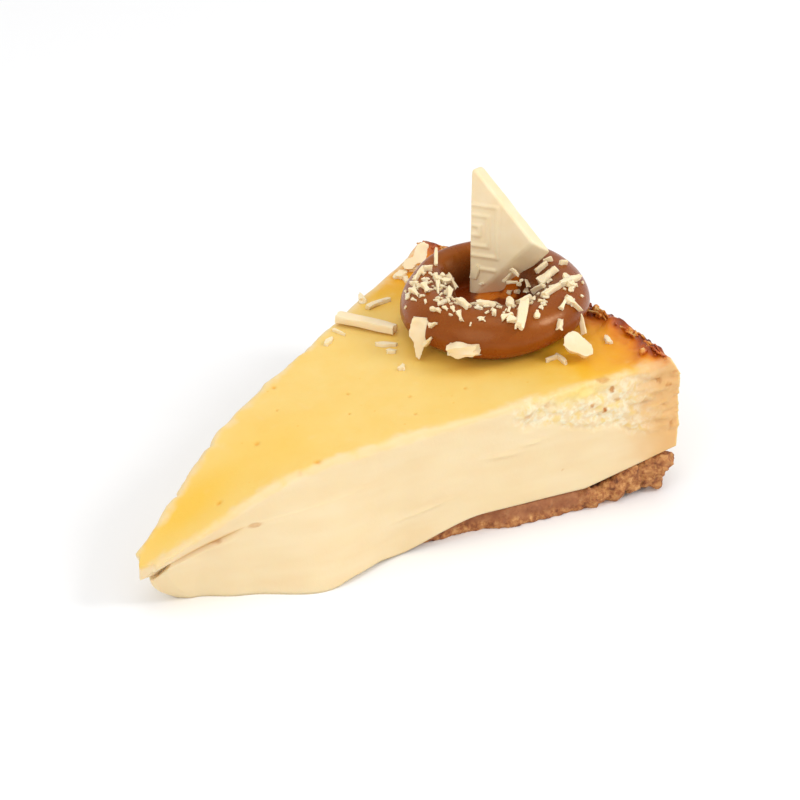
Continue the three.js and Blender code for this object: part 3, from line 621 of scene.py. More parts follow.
def base_crumbs(random):
    parts = []
    for side in (-1, 1):
        for _ in range(BASE_SIDE_CRUMBS):
            radius = random.uniform(58, 126.5)
            loose = smoothstep(radius, 103, 110)
            size = lerp(random.uniform(0.3, 0.85), random.uniform(0.7, 2.2), loose)
            if random.uniform(0, 1) < 0.76 * loose:
                continue
            radius = min(radius, BASE_RIM_RADIUS - 1 - 0.7 * size)
            top = base_top(radius) - 0.25
            level = random.uniform(0, 1) ** lerp(1.8, 1, loose)
            height = lerp(size * 0.7, top - size * 0.6, level)
            if height / top < 0.6:
                radius = min(radius, BASE_FOOT_RADIUS)
            inset = lerp(2.5, 0.55, smoothstep(radius, DRAPE_END - 1, DRAPE_END + 5)) + 0.75 * loose
            inset = inset + size * 0.2 - random.uniform(0, 0.6) * loose
            y = side * (radius * sin(HALF_ANGLE) - inset)
            x = sqrt(radius**2 - y**2)
            parts.append(crumb(random, np.array([x, y, height]), size))
    for _ in range(BASE_RIM_CRUMBS):
        angle = random.uniform(-1, 1) * HALF_ANGLE * 0.945
        size = random.uniform(0.5, 1.6)
        height = lerp(size * 0.7, base_top(126) - 0.3 - 0.6 * size, random.uniform(0, 1))
        radius = base_rim(height) - 2 - 0.6 * size
        centre = np.array([radius * cos(angle), radius * sin(angle) * 0.985, height])
        parts.append(crumb(random, centre, size))
    return parts


def make_base(material):
    random = np.random.default_rng(5)
    stations = np.concatenate([np.linspace(0, 0.8, 24), np.linspace(0.82, 1, 14)])
    levels = np.array([0, 0.2, 0.45, 0.62, 0.68, 0.85, 1])
    shares = np.linspace(-1, 1, 21)
    (i, j, k), faces = shell((len(stations) - 1, 20, 6))
    slab = base_points(stations[i], shares[j], levels[k])
    points, quads = remeshed([(slab, faces)] + base_crumbs(random), BASE_GRAIN)
    outward = normals(points, quads)
    radius = np.hypot(points[:, 0], points[:, 1])
    loose = smoothstep(radius + 2 * noise(points, 4, 81), 103, 109)
    side = 1 - np.abs(outward[:, 2])
    depth = lerp(0.16, 0.26, loose) * fractal(points, 1.1, 3, 82) * lerp(0.25, 1, side)
    points = points + outward * depth[:, None]
    points[:, 2] = np.clip(points[:, 2], 0, base_top(radius) + 0.1)
    pressed = (1 - loose) * smoothstep(points[:, 2] + 0.9 * noise(points, 2.5, 83), 1.2, 2.6)
    # painted shade: darker in the hollows among the loose crumbs, where the slab lies far inside their
    # outline
    sunk = radius * sin(HALF_ANGLE) - np.abs(points[:, 1])
    sunk = np.minimum(sunk, base_rim(points[:, 2]) - radius - 0.6) + 0.3 * noise(points, 0.8, 84)
    painted_crevice_shade = loose * smoothstep(sunk, 1.2, 2.3)
    masks = {"loose": loose, "pressed": pressed, "painted_crevice_shade": painted_crevice_shade}
    add_piece("biscuit_base_body", points, [quads], material, ["biscuit_base"], masks)


# The caramel ring

RING_TURNS = 144
RING_SECTIONS = 40
RING_GRAIN = 0.45


def from_ring_centre(x, y):
    return np.hypot(x - RING_CENTRE[0], y - RING_CENTRE[1])


def ring_centre_height(x, y):
    return top_height(np.hypot(x, y)) + RING_CLEARANCE + RING_HALF_HEIGHT - RING_SINK


def ring_point(turn, section):
    """A point on the ring's skin, whose back is a thinner lip farther out."""
    turn = np.arctan2(np.sin(turn), np.cos(turn))
    swell = 1 + 0.035 * np.sin(2 * turn + 0.6) + 0.02 * np.sin(5 * turn)
    lip = between(turn, BACK_LIP_RISES, BACK_LIP_ENDS)
    half_width = RING_HALF_WIDTH * swell - lip * np.where(np.cos(section) > 0, 3, 1.9)
    undercut = RING_UNDERCUT * smoothstep(-section, 0.1, 0.85)
    reach = RING_RADIUS + BACK_LIP_SHIFT * lip + half_width * np.cos(section) - undercut
    x = RING_CENTRE[0] + reach * np.cos(turn)
    y = RING_CENTRE[1] + reach * np.sin(turn)
    rise = RING_HALF_HEIGHT * swell * np.sin(section)
    return np.stack(np.broadcast_arrays(x, y, ring_centre_height(x, y) + rise), axis=-1)


def make_ring(material):
    turns = np.linspace(0, 2 * pi, RING_TURNS + 1)[:-1]
    low = asin((RING_SINK - RING_HALF_HEIGHT) / RING_HALF_HEIGHT)
    high = pi - asin((RING_FLOOR + RING_SINK - RING_HALF_HEIGHT) / RING_HALF_HEIGHT)
    sections = np.linspace(low, high, RING_SECTIONS)
    skin = ring_point(turns[:, None], sections[None, :]).reshape(-1, 3)
    foot = np.array([*RING_CENTRE, top_height(RING_CENTRE[0]) + RING_CLEARANCE])
    poles = np.array([foot, foot + [0, 0, RING_FLOOR]])
    ids = np.arange(len(skin)).reshape(RING_TURNS, RING_SECTIONS)
    ids = np.concatenate([ids, ids[:1]])
    under = stacked(ids[1:, 0], ids[:-1, 0], np.full(RING_TURNS, len(skin)))
    over = stacked(ids[:-1, -1], ids[1:, -1], np.full(RING_TURNS, len(skin) + 1))
    ring = (np.concatenate([skin, poles]), [grid_faces(ids), under, over])
    points, quads = remeshed([ring], RING_GRAIN)
    points = smoothed(points, quads, 5)
    outward = normals(points, quads)
    relief = 0.12 * noise(points, 6, 91) + 0.03 * noise(points, 1.6, 92)
    points = points + outward * relief[:, None]
    x, y, z = points.T
    above = z - top_height(np.hypot(x, y))
    melted = np.maximum(bump(x, y, (110.2, 6.4), (3.4, 2.6)), bump(x, y, (114.2, 3.4), (3.2, 2)))
    melted = melted * (from_ring_centre(x, y) < RING_RADIUS - 1)
    masks = {
        "melted": smoothstep(melted + 0.15 * noise(points, 1.2, 93), 0.3, 0.6),
        # painted bounce light and shade: darker, more orange low on the ring, near the cake
        "low": 1 - smoothstep(above + 0.5 * noise(points, 4, 94), 0.8, 5.5),
        # painted shade on the inner wall of the hollow
        "inner": 1 - smoothstep(from_ring_centre(x, y), 11.5, 15),
    }
    add_piece("caramel_swirl", points, [quads], material, ["caramel_ring"], masks)


# White chocolate

CHOCOLATE_GRAIN = 0.22
SMALL_FLAKES = 110


def triangle_outline(grow):
    half = TRIANGLE_EDGE / 2
    corners = np.array([[0, 0], [half, half], [0, TRIANGLE_EDGE]], float)
    outline = []
    for n, reach in enumerate(TRIANGLE_ROUNDING):
        before, corner, after = corners[n - 1], corners[n], corners[(n + 1) % 3]
        start = corner + reach * (before - corner) / np.linalg.norm(before - corner)
        end = corner + reach * (after - corner) / np.linalg.norm(after - corner)
        for t in np.linspace(0, 1, 6):
            outline.append(lerp(lerp(start, corner, t), lerp(corner, end, t), t))
    centre = np.array([half * (sqrt(2) - 1), half])
    scale = (centre[0] + grow) / centre[0]
    return (np.array(outline) - centre) * scale + centre


def triangle_body():
    back = -TRIANGLE_THICKNESS
    layers = [(back, -0.4), (back + 0.1, -0.12), (back + 0.4, 0), (-0.4, 0), (-0.1, -0.12), (0, -0.4)]
    rings = []
    for z, grow in layers:
        flat = triangle_outline(grow)
        below_tip = flat[:, 1] <= TRIANGLE_TIP_SHARE * TRIANGLE_EDGE
        slant = TRIANGLE_SLANT * sqrt(2) * np.clip(z / back, 0, 1) * below_tip
        towards = 0.5 * np.clip(flat[:, 0] / (TRIANGLE_EDGE / 2), 0, 1)
        across, up = flat[:, 0] + slant * towards, flat[:, 1] - slant * (1 - towards)
        rings.append(stacked(across, up, np.full(len(flat), z)))
    return loft(rings)


def loft(rings):
    """A closed body from rings of points, with both ends closed by fans."""
    count = len(rings[0])
    ids = np.arange(len(rings) * count).reshape(len(rings), count)
    ids = np.concatenate([ids, ids[:, :1]], axis=1)
    points = np.concatenate(rings + [np.array([rings[0].mean(axis=0), rings[-1].mean(axis=0)])])
    start, final = len(points) - 2, len(points) - 1
    back_fan = stacked(ids[0, 1:], ids[0, :-1], np.full(count, start))
    front_fan = stacked(ids[-1, :-1], ids[-1, 1:], np.full(count, final))
    return points, [grid_faces(ids)[:, ::-1], back_fan, front_fan]


def block(centre, size):
    (i, j, k), faces = shell((1, 1, 1))
    return (stacked(i, j, k) - 0.5) * size + centre, faces


def triangle_lines():
    """Nested squares in low relief, cut off by the long edge, and a short bar below them."""
    wide, high, middle = 0.6, 0.6, 15.7
    bars = [block([4.05, 7.4, 0], [4.5, wide, high])]
    for reach, half in ((6.6, 5.5), (4.4, 3.3), (2.3, 1)):
        for side in (-half, half):
            bars.append(block([(reach + 0.4) / 2, middle + side, 0], [reach - 0.4, wide, high]))
        bars.append(block([reach, middle, 0], [wide, 2 * half + wide, high]))
    return bars


def make_triangle(material):
    points, quads = remeshed([triangle_body()] + triangle_lines(), CHOCOLATE_GRAIN)
    points = smoothed(points, quads, 2)
    points = points + normals(points, quads) * (0.06 * noise(points, 3, 101))[:, None]
    points = points @ TRIANGLE_BASIS + TRIANGLE_CORNER
    # its foot ends in the caramel
    floor = top_height(TRIANGLE_CORNER[0]) + 1.2
    points[:, 2] = np.maximum(points[:, 2], floor)
    add_piece(
        "white_chocolate_point", points, [quads], material, ["white_chocolate_triangle"]
    )


def splinter(random, length, width, thickness, taper, bend, twist=0.0, rag=0.25, steps=(8, 4, 2)):
    """A shaving or shard of chocolate along +X, centred on its middle, with broken ends."""
    (i, j, k), faces = shell(steps)
    u, v, w = i / steps[0] - 0.5, j / steps[1] - 0.5, k / steps[2] - 0.5
    seed = int(random.integers(1, 9999))
    grid = stacked(u, v, w)
    ragged = 1 + rag * noise(stacked(u * 3, v * 0, w * 0) + seed, 1, seed)
    end = 0.5 * rag * noise(stacked(u * 0, v * 3, w * 1.5) + seed, 1, seed + 1)
    x = (u + end * (2 * np.abs(u)) ** 3 * np.sign(u) * width / length) * length
    y = v * width * (1 - taper * (u + 0.5)) * ragged
    y = y + 0.12 * rag * width * noise(grid * 4 + seed, 1, seed + 2)
    z = w * thickness * (1 + 0.4 * rag * noise(grid * 3 + seed, 1, seed + 3))
    # its long corners are worn
    worn = 1 - 0.12 * (2 * np.abs(v)) ** 4 * (2 * np.abs(w)) ** 4
    y, z = y * worn, z * worn
    angle = twist * u
    y, z = y * np.cos(angle) - z * np.sin(angle), y * np.sin(angle) + z * np.cos(angle)
    z = z + bend * length * (0.25 - u * u)
    return stacked(x, y, z), faces


# Flakes on the ring: turn round it, angle round its section, heading, lean, length, width
RING_FLAKES = [
    (126, 70, -19, -9, 4.8, 0.9), (118, 86, -71, 0, 1.8, 1.3), (100, 102, 39, -15, 4.9, 0.9),
    (134, 107, 40, 0, 1.9, 1.3), (132, 125, -47, -12, 2.5, 1.3),
    (157, 101, -18, -25, 3.8, 0.9), (172, 110, -30, -32, 3.2, 1.5), (139, 63, 50, -5, 2.1, 0.8),
    (152, 61, 12, -16, 3.1, 1.4), (153, 81, 1, -17, 2.5, 1.4), (-179, 60, 11, 0, 2.2, 0.9),
    (-163, 96, -26, -10, 4, 1.5), (-159, 62, -51, 0, 2.4, 1.1), (-143, 108, -8, 1, 3.6, 1.7),
    (-135, 77, -69, -4, 1.7, 0.8), (-115, 65, 62, -2, 7.2, 2.3), (-119, 110, 78, 12, 4.2, 1.8),
    (-103, 110, 10, 8, 3.8, 1.6), (-126, 65, 15, 3, 2.5, 1.2), (-123, 57, -19, 4, 1.8, 1.5),
    (-60, 137, 76, 3, 3.7, 1), (-42, 117, -56, 2, 4.7, 2.2), (-68, 90, -17, 3, 8, 1.5),
    (-54, 74, -35, 7, 5.3, 2.4), (-55, 77, 36, 8, 3.7, 1.8), (-14, 100, 79, -1, 1.9, 0.8),
    (-19, 119, -88, 1, 2.9, 0.8), (-24, 77, -88, 3, 1.8, 0.8), (-74, 42, -72, 2, 4.3, 1.3),
    (-81, 55, 20, 6, 3.2, 0.8), (-71, -8, 69, -33, 4.4, 0.7), (-105, 57, 64, -1, 1.4, 1),
    (-92, 23, 62, 0, 1.8, 1.3), (-176, -2, 51, -7, 3, 1.2), (-175, 33, 36, 0, 1.7, 0.9),
    (115, 148, -85, 0, 3.6, 1.3), (96, 175, -87, 0, 2.4, 0.8), (104, 180, -10, -16, 1.9, 0.6),
    (68, 187, 0, 0, 1.1, 0.8), (19, 193, 0, 0, 1.1, 0.9), (4, 187, 20, 0, 1.1, 0.9),
    (-16, 177, 50, 0, 1.1, 0.9), (-16, 161, -27, 0, 2.1, 0.7), (124, 117, 70, 1, 0.9, 0.8),
]

# The larger piece stuck to the front of the ring
FRONT_CHUNK = (-152, 2, 8, 0, 6, 3.2)

# Flakes on the front of the triangle: distance from its foot corner, height, heading, length, width
TRIANGLE_FLAKES = [
    (1.6, 6.6, 70, 3.2, 1.3), (9.2, 6.4, 50, 2.6, 0.7), (11, 7.9, -35, 2.2, 0.7), (10.4, 5.6, 10, 2.4, 0.9),
    (12.3, 5.8, 60, 1.6, 0.8), (3.2, 4.2, 20, 1.0, 0.7),
]

# Flakes on the cake: place, heading, length, width
CAKE_FLAKES = [
    (77.1, 20.4, 23, 2.9, 1.2), (81.1, 21.4, -86, 3.1, 1.2), (95.2, 24.6, -6, 5.7, 1.2),
    (94.2, 29, 62, 3, 1.3), (84.6, 10.6, -47, 4.6, 1.4), (83.4, 7.7, -47, 1.8, 1.1),
    (80.6, 1.4, 35, 2, 1.2), (117.2, -22.4, 60, 2.8, 1.6), (87.4, 22.6, -26, 2.3, 1.2),
    (105.2, -20.6, 73, 4, 1), (104.2, -19.2, -7, 3.2, 0.7), (107.1, 30.4, 20, 3.4, 2.2),
    (111.6, 29.2, -50, 3.6, 1.6), (106.2, 27.6, 60, 2.2, 1.5),
]


def flake(random, middle, along, out, length, width, thickness):
    """A flake at a place, its length along one direction and its flat side facing another."""
    shape = splinter(
        random, length, width, thickness, taper=random.uniform(0.1, 0.6), bend=random.uniform(0, 0.14),
        twist=random.uniform(-0.7, 0.7), rag=0.7,
    )
    aside = np.cross(out, along)
    aside = aside / np.linalg.norm(aside)
    return shape[0] @ np.stack([along, aside, np.cross(along, aside)]) + middle, shape[1]


def flake_on_ring(random, turn, section, heading, lean, length, width, thickness):
    turn, section, heading, lean = np.radians([turn, section, heading, lean])
    out = np.array([cos(section) * cos(turn), cos(section) * sin(turn), sin(section)])
    round_it = np.array([-sin(turn), cos(turn), 0])
    along = cos(heading) * round_it + sin(heading) * np.cross(out, round_it)
    along = cos(lean) * along + sin(lean) * out
    middle = ring_point(turn, section) + 0.3 * thickness * out
    return flake(random, middle, along, out, length, width, thickness)


def make_flakes(material):
    random = np.random.default_rng(23)
    parts = [flake_on_ring(random, *row, thickness=0.75 + 0.45 * row[5] ** 0.5) for row in RING_FLAKES]
    # smaller bits between them
    for _ in range(SMALL_FLAKES):
        turn = random.uniform(124, 318)
        section = random.normal(88, 22)
        length = random.uniform(0.5, 1.7)
        parts.append(flake_on_ring(
            random, turn, section, random.uniform(-90, 90), random.uniform(-25, 25),
            length, length * random.uniform(0.35, 0.8), 0.45,
        ))
    parts.append(flake_on_ring(random, *FRONT_CHUNK, thickness=2.8))
    right, up, out = TRIANGLE_BASIS
    for across, high, heading, length, width in TRIANGLE_FLAKES:
        along = facing(heading) @ TRIANGLE_BASIS
        middle = TRIANGLE_CORNER + across * right + high * up + 0.25 * out
        parts.append(flake(random, middle, along, out, length, width, 0.7))
    # a broad pale shaving against the back wall of the hollow
    middle, out = np.array([109.4, 16.0, 36.4]), np.array([-0.55, -0.5, 0.67])
    parts.append(flake(random, middle, facing(-34, -0.1), out, 6.4, 2.6, 0.9))
    for x, y, heading, length, width in CAKE_FLAKES:
        middle = np.array([x, y, top_height(hypot(x, y)) + 0.25])
        parts.append(flake(random, middle, facing(heading), np.array([0, 0, 1.0]), length, width, 1))
    points, faces = together(parts)
    add_piece("chocolate_flakes", points, faces, material, sharp=32)


# The broken slabs beside the ring, as in the CAD model
SLABS = {
    "chocolate_shard_left": dict(
        at=(84.5, 1), heading=35, lean=74, thickness=1.8, outline=[
            (0.5, 0), (1.6, 3.4), (2.3, 6.6), (1.8, 9.4), (-1.6, 9.4), (-2.4, 5.3), (-1.2, 3.9), (-0.5, 0.7),
        ],
    ),
    "chocolate_chunk_right": dict(
        at=(105.8, -25.2), heading=47, lean=46, thickness=3, outline=[
            (1.4, 0), (3, 0.7), (2.8, 2.8), (1.4, 4.2), (-0.7, 5.9), (-2.3, 5.6), (-3.2, 4.5), (-3.4, 2.6),
            (-2.3, 1.4), (0, 0.7),
        ],
    ),
    "chocolate_curl_back": dict(
        at=(109.6, 28.6), heading=47, lean=42, thickness=1.5, outline=[
            (-0.5, 0), (0.5, 1.4), (2.3, 1.8), (3, 3.7), (3.2, 6), (2.1, 6.9), (0.5, 6.2), (0, 5),
            (-0.5, 3.2), (-2.3, 2.8), (-3, 1.4), (-2.3, 0.2),
        ],
    ),
}


# The stick: where its middle is, its heading, its length, width and thickness, and its height over the cake
STICK_PLACE = (86.4, 18.8)
STICK_HEADING = -68
STICK_SIZE = (13.5, 3, 1.9)
STICK_LIFT = 1.45


def slab_on_cake(at, heading, lean, thickness, outline):
    """A broken slab that leans away from its front lower edge and just clears the cake."""
    front = np.array([(across, up, 0) for across, up in outline], float)
    back = lerp(front.mean(axis=0), front, SLAB_BACK_SHARE) - [0, 0, thickness]
    turn, slope = radians(heading), radians(lean)
    right = np.array([sin(turn), -cos(turn), 0])
    upward = np.array([cos(turn) * cos(slope), sin(turn) * cos(slope), sin(slope)])
    points, quads = remeshed([loft([back, front])], 0.24)
    points = smoothed(points, quads, 1)
    facets = 0.3 * np.abs(noise(points, 2.4, 103)) + 0.1 * fractal(points, 1.1, 2, 104)
    points = points - normals(points, quads) * facets[:, None]
    points = points @ np.stack([right, upward, np.cross(right, upward)]) + [*at, 0]
    points[:, 2] += top_height(hypot(*at)) + SLAB_LIFT - points[:, 2].min()
    return points, quads


def make_slabs(material):
    for name, slab in SLABS.items():
        points, quads = slab_on_cake(**slab)
        add_piece(name + "_piece", points, [quads], material, [name])
    random = np.random.default_rng(17)
    points, faces = splinter(random, *STICK_SIZE, taper=0.2, bend=0.03, steps=(24, 10, 5))
    turned = points @ np.array(Matrix.Rotation(radians(STICK_HEADING), 3, "Z")).T
    points = turned + [*STICK_PLACE, top_height(hypot(*STICK_PLACE)) + STICK_LIFT]
    add_piece(
        "chocolate_stick_piece", points, faces, material, ["chocolate_stick"], sharp=35
    )


# Burnt crust

CRUST_CRUMBS = 130
CRUST_FLAKES = 70


def on_rim(angle, radius, height):
    return np.array([radius * cos(angle), radius * sin(angle), height])


def make_crust_bits(material):
    """Burnt flaky bits along the top of the rim."""
    random = np.random.default_rng(31)
    parts = []
    for _ in range(CRUST_CRUMBS):
        angle = random.uniform(-1, 1) * HALF_ANGLE * 0.985
        radius = 125.6 - abs(random.normal(0, 1.1))
        size = random.uniform(0.2, 0.75) * lerp(0.75, 1.25, random.uniform(0, 1) ** 3)
        height = top_height(radius) + 0.35 + random.uniform(-0.3, 0.4)
        parts.append(crumb(random, on_rim(angle, radius, height), size))
    for _ in range(CRUST_FLAKES):
        angle = random.uniform(-1, 1) * HALF_ANGLE * 0.97
        radius = 125.4 - abs(random.normal(0, 0.9))
        middle = on_rim(angle, radius, top_height(radius) + 0.9)
        along = np.array([-sin(angle), cos(angle), random.uniform(-0.3, 0.3)])
        out = np.array([cos(angle), sin(angle), 1]) + random.normal(0, 0.3, 3)
        along = along - out * (along @ out) / (out @ out)
        length = random.uniform(1.2, 3.8)
        parts.append(flake(
            random, middle, along / np.linalg.norm(along), out / np.linalg.norm(out),
            length, length * random.uniform(0.3, 0.6), 0.35,
        ))
    points, faces = together(parts)
    add_piece("burnt_crust_bits", points, faces, material)


# Materials

LIGHTNESS = 0.84


def rgb(red, green, blue, lightness=LIGHTNESS):
    """The surface colour that looks like a picture's colour, 0 to 255, under the studio light."""
    parts = [part / 255 for part in (red, green, blue)]
    linear = [part / 12.92 if part <= 0.04045 else ((part + 0.055) / 1.055) ** 2.4 for part in parts]
    return [lightness * part for part in linear] + [1]


class Shader:
    """A material and short ways to add its nodes."""

    def __init__(self, name):
        self.material = bpy.data.materials.new(name)
        self.material.use_nodes = True
        self.tree = self.material.node_tree
        self.surface = next(node for node in self.tree.nodes if node.type == "BSDF_PRINCIPLED")
        self.place = self.tree.nodes.new("ShaderNodeTexCoord").outputs["Object"]

    def node(self, kind, settings=None, **inputs):
        node = self.tree.nodes.new(kind)
        for key, value in (settings or {}).items():
            setattr(node, key, value)
        for key, value in inputs.items():
            self.feed(node.inputs[key.replace("_", " ")], value)
        return node

    def feed(self, socket, value):
        if isinstance(value, bpy.types.NodeSocket):
            self.tree.links.new(value, socket)
        else:
            socket.default_value = value

    def set(self, name, value):
        self.feed(self.surface.inputs[name], value)

    def roughness(self, size, detail, low, high):
        """Roughness that varies between two values in patches of a size in millimetres."""
        self.set("Roughness", self.range(self.noise(size, detail), 0.3, 0.7, low, high))

    def over(self, colour, **spots):
        """A colour with others laid over it, each where the mask of its name is."""
        for name, spot in spots.items():
            colour = self.mix(self.mask(name), colour, spot)
        return colour

    def mask(self, name):
        return self.node("ShaderNodeAttribute", {"attribute_name": name}).outputs["Fac"]

    def noise(self, size, detail=3, roughness=0.55, stretch=None):
        """Noise from 0 to 1 with features of a size in millimetres."""
        place = self.place
        if stretch is not None:
            place = self.node("ShaderNodeMapping", Vector=place, Scale=stretch).outputs[0]
        settings = {"Scale": 1000 / size, "Detail": detail, "Roughness": roughness}
        return self.node("ShaderNodeTexNoise", Vector=place, **settings).outputs["Fac"]

    def spots(self, size, low, high):
        """Small round spots, 1 in the middle."""
        cells = self.node("ShaderNodeTexVoronoi", Vector=self.place, Scale=1000 / size)
        return self.range(cells.outputs["Distance"], high, low)

    def range(self, value, low, high, to_low=0.0, to_high=1.0):
        limits = {"From_Min": low, "From_Max": high, "To_Min": to_low, "To_Max": to_high}
        return self.node("ShaderNodeMapRange", {"clamp": True}, Value=value, **limits).outputs[0]

    def maths(self, operation, a, b):
        node = self.node("ShaderNodeMath", {"operation": operation, "use_clamp": operation != "SUBTRACT"})
        self.feed(node.inputs[0], a)
        self.feed(node.inputs[1], b)
        return node.outputs[0]

    def ramp(self, value, stops):
        node = self.node("ShaderNodeValToRGB", Fac=value)
        elements = node.color_ramp.elements
        for n, (position, colour) in enumerate(stops):
            element = elements[n] if n < 2 else elements.new(position)
            element.position = position
            element.color = rgb(*colour)
        return node.outputs["Color"]

    def mix(self, factor, a, b):
        node = self.node("ShaderNodeMix", {"data_type": "RGBA"})
        self.feed(node.inputs[0], factor)
        for socket, colour in ((6, a), (7, b)):
            self.feed(node.inputs[socket], rgb(*colour) if isinstance(colour, tuple) else colour)
        return node.outputs[2]

    def flesh(self, weight, radius, scale):
        """Light that goes some way into the surface, with its reach in metres."""
        self.set("Subsurface Weight", weight)
        self.set("Subsurface Radius", radius)
        self.set("Subsurface Scale", scale)

    def relief(self, *layers):
        """Fine relief in layers of noise, each with its size and depth in millimetres and its detail."""
        below = {}
        for size, depth, *detail in layers:
            height = self.noise(size, *detail)
            node = self.node("ShaderNodeBump", Height=height, Strength=1.0, Distance=depth / 1000, **below)
            below = {"Normal": node.outputs[0]}
        self.set("Normal", node.outputs[0])


def filling_material():
    look = Shader("cheese_filling_look")
    skin, brown, broken = look.mask("skin"), look.mask("brown"), look.mask("broken")
    cream = look.ramp(look.noise(14, 2), [(0.3, (248, 219, 170)), (0.7, (252, 228, 180))])
    streaks = look.noise(5, 2, stretch=(0.3, 0.3, 1.2))
    cream = look.mix(look.range(streaks, 0.4, 0.8), cream, (253, 231, 188))
    # paler torn cheese in the broken zone, with painted highlights on its crumbs
    torn_crumbs_and_highlights = look.range(look.noise(1.3, 3), 0.45, 0.62)
    cream = look.mix(look.maths("MULTIPLY", broken, torn_crumbs_and_highlights), cream, (255, 243, 210))
    warm = look.range(look.noise(1.9, 2), 0.52, 0.68)
    cream = look.mix(look.maths("MULTIPLY", broken, warm), cream, (252, 222, 150))
    # real specks and stains on the near cut, and painted shade along the crack
    speck_and_shade = look.ramp(look.noise(0.8, 2), [(0.35, (196, 120, 50)), (0.65, (222, 158, 84))])
    # painted shade along the crack, laid over the cream
    cream = look.over(
        cream, yellow=(254, 226, 140), tan=(240, 190, 124), crack_line=(236, 180, 96),
        outside=(252, 219, 150), stain=speck_and_shade,
    )
    yellow = look.ramp(look.noise(9, 3), [(0.3, (254, 212, 112)), (0.7, (255, 219, 128))])
    # painted light on the skin round the ring, brighter than the rest
    yellow = look.over(yellow, tip_glow=(255, 206, 80), round_ring=(255, 206, 84, 0.98))
    yellow = look.mix(look.spots(3.6, 0.02, 0.1), yellow, (253, 200, 84))
    yellow = look.over(yellow, pore=(244, 172, 48))
    baked = look.ramp(brown, [
        (0.0, (255, 214, 100)), (0.14, (255, 195, 48)), (0.28, (249, 170, 24)), (0.42, (238, 142, 18)),
        (0.56, (220, 116, 14)), (0.72, (190, 88, 20)), (0.86, (158, 66, 18)), (1.0, (122, 48, 14)),
    ])
    top = look.mix(look.range(brown, 0.02, 0.14), yellow, baked)
    look.set("Base Color", look.mix(skin, cream, top))
    gloss = look.range(brown, 0.3, 0.8, 0.0, 0.26)
    rough = look.maths("SUBTRACT", look.range(look.noise(2.5, 3), 0.3, 0.7, 0.42, 0.56), gloss)
    look.set("Roughness", rough)
    look.set("Specular IOR Level", 0.35)
    look.flesh(0.25, (1.0, 0.62, 0.3), 0.0022)
    look.relief((0.9, 0.05, 4), (0.35, 0.02, 3))
    return look.material


def biscuit_material():
    look = Shader("biscuit_look")
    loose, pressed = look.mask("loose"), look.mask("pressed")
    grain = look.ramp(look.noise(1.6, 4, 0.65), [
        (0.32, (104, 52, 24)), (0.45, (172, 104, 56)), (0.58, (210, 146, 86)), (0.72, (240, 188, 124)),
    ])
    crushed = look.ramp(look.noise(2.6, 3), [(0.3, (152, 88, 52)), (0.7, (182, 118, 76))])
    colour = look.mix(look.maths("MULTIPLY", pressed, 0.85), grain, crushed)
    golden = look.maths("MULTIPLY", loose, look.range(look.noise(0.9, 3), 0.5, 0.75))
    colour = look.mix(golden, colour, (214, 152, 86))
    # painted shade in the hollows among the loose crumbs
    colour = look.mix(look.maths("MULTIPLY", look.mask("painted_crevice_shade"), 0.8), colour, (84, 42, 20))
    look.set("Base Color", colour)
    look.set("Roughness", 0.8)
    look.flesh(0.08, (1.0, 0.6, 0.35), 0.001)
    look.relief((0.7, 0.16, 4, 0.7), (0.25, 0.05, 2))
    return look.material


def caramel_material():
    look = Shader("caramel_look")
    colour = look.ramp(look.noise(10, 2), [(0.3, (142, 66, 6)), (0.7, (158, 80, 12))])
    # painted bounce light and shade low on the ring, near the cake
    # painted shade on the inner wall of the hollow
    colour = look.over(colour, inner=(112, 54, 18), low=(140, 46, 0), melted=(214, 118, 30))
    look.set("Base Color", colour)
    look.roughness(3, 3, 0.22, 0.34)
    look.set("Specular IOR Level", 0.46)
    look.set("Specular Tint", (1.0, 0.7, 0.42, 1))
    look.flesh(0.25, (1.0, 0.45, 0.15), 0.0015)
    look.relief((1.1, 0.03, 3))
    return look.material


def chocolate_material():
    look = Shader("white_chocolate_look")
    pale = [(0.3, (252, 228, 182, 0.9)), (0.7, (255, 236, 198, 0.9))]
    look.set("Base Color", look.ramp(look.noise(5, 3), pale))
    look.roughness(1.5, 3, 0.42, 0.55)
    look.flesh(0.3, (1.0, 0.75, 0.45), 0.0012)
    look.relief((0.8, 0.025, 4))
    return look.material


def crust_material():
    look = Shader("burnt_crust_look")
    colour = look.ramp(look.noise(2.2, 3), [
        (0.3, (170, 66, 18)), (0.44, (208, 100, 28)), (0.55, (238, 154, 58)), (0.68, (254, 216, 136)),
    ])
    look.set("Base Color", colour)
    look.roughness(1.5, 2, 0.18, 0.4)
    look.relief((0.5, 0.06, 3))
    return look.material


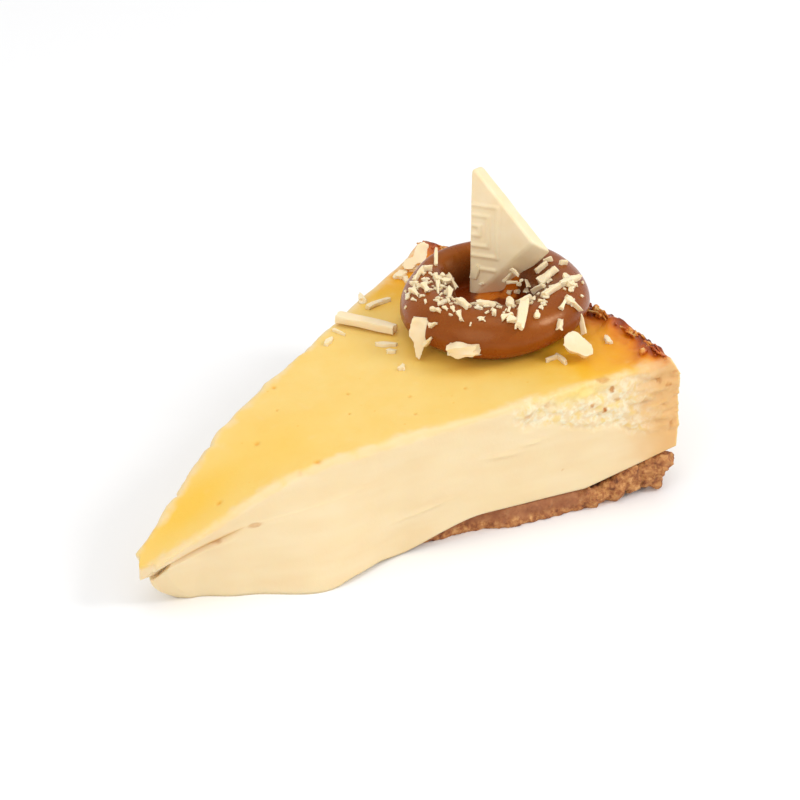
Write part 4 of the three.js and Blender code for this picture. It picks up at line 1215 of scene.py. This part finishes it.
def floor_material():
    look = Shader("floor_look")
    look.set("Base Color", look.mix(look.noise(300, 1), [0.90, 0.90, 0.905, 1], [0.92, 0.92, 0.92, 1]))
    look.set("Roughness", 0.9)
    look.set("Specular IOR Level", 0.1)
    return look.material


# The stage

def make_stage():
    (i, j, k), faces = shell((2, 2, 1))
    size = np.array([3.0, 3.0, 0.01])
    points = (stacked(i / 2, j / 2, k) - [0.5, 0.5, 1]) * size
    floor = new_object("floor", points, faces)
    floor.data.materials.append(floor_material())
    world = bpy.data.worlds.new("studio")
    world.use_nodes = True
    sky = next(node for node in world.node_tree.nodes if node.type == "BACKGROUND")
    sky.inputs["Color"].default_value = (1, 1, 1, 1)
    sky.inputs["Strength"].default_value = 0.78
    bpy.context.scene.world = world
    add_light("key", (0.73, -0.93, 0.92), 0.5, 6.8)
    add_light("overhead", (0.0, 0.0, 1.8), 1.2, 5)
    add_light("fill", (-1.2, -0.4, 0.8), 1.2, 5)
    bpy.context.scene.view_settings.view_transform = "Standard"


def add_light(name, place, size, power):
    light = bpy.data.lights.new(name, "AREA")
    light.shape = "DISK"
    light.size = size
    light.energy = power
    lamp = bpy.data.objects.new(name, light)
    lamp.location = place
    lamp.rotation_euler = Vector(place).to_track_quat("Z", "Y").to_euler()
    bpy.context.scene.collection.objects.link(lamp)


def make_camera():
    data = bpy.data.cameras.new("camera")
    data.lens = CAMERA_LENS
    data.sensor_width = 36
    data.clip_end = 20
    camera = bpy.data.objects.new("camera", data)
    level = cos(CAMERA_ELEVATION)
    back = Vector((
        sin(CAMERA_AZIMUTH) * level, -cos(CAMERA_AZIMUTH) * level, sin(CAMERA_ELEVATION)
    ))
    target = Vector(in_place(np.array(CAMERA_TARGET)))
    camera.location = target + back * CAMERA_DISTANCE / 1000
    camera.rotation_euler = back.to_track_quat("Z", "Y").to_euler()
    bpy.context.scene.collection.objects.link(camera)
    bpy.context.scene.camera = camera


chocolate = chocolate_material()
make_filling(filling_material())
make_base(biscuit_material())
make_ring(caramel_material())
make_triangle(chocolate)
make_slabs(chocolate)
make_flakes(chocolate)
make_crust_bits(crust_material())
make_stage()
make_camera()
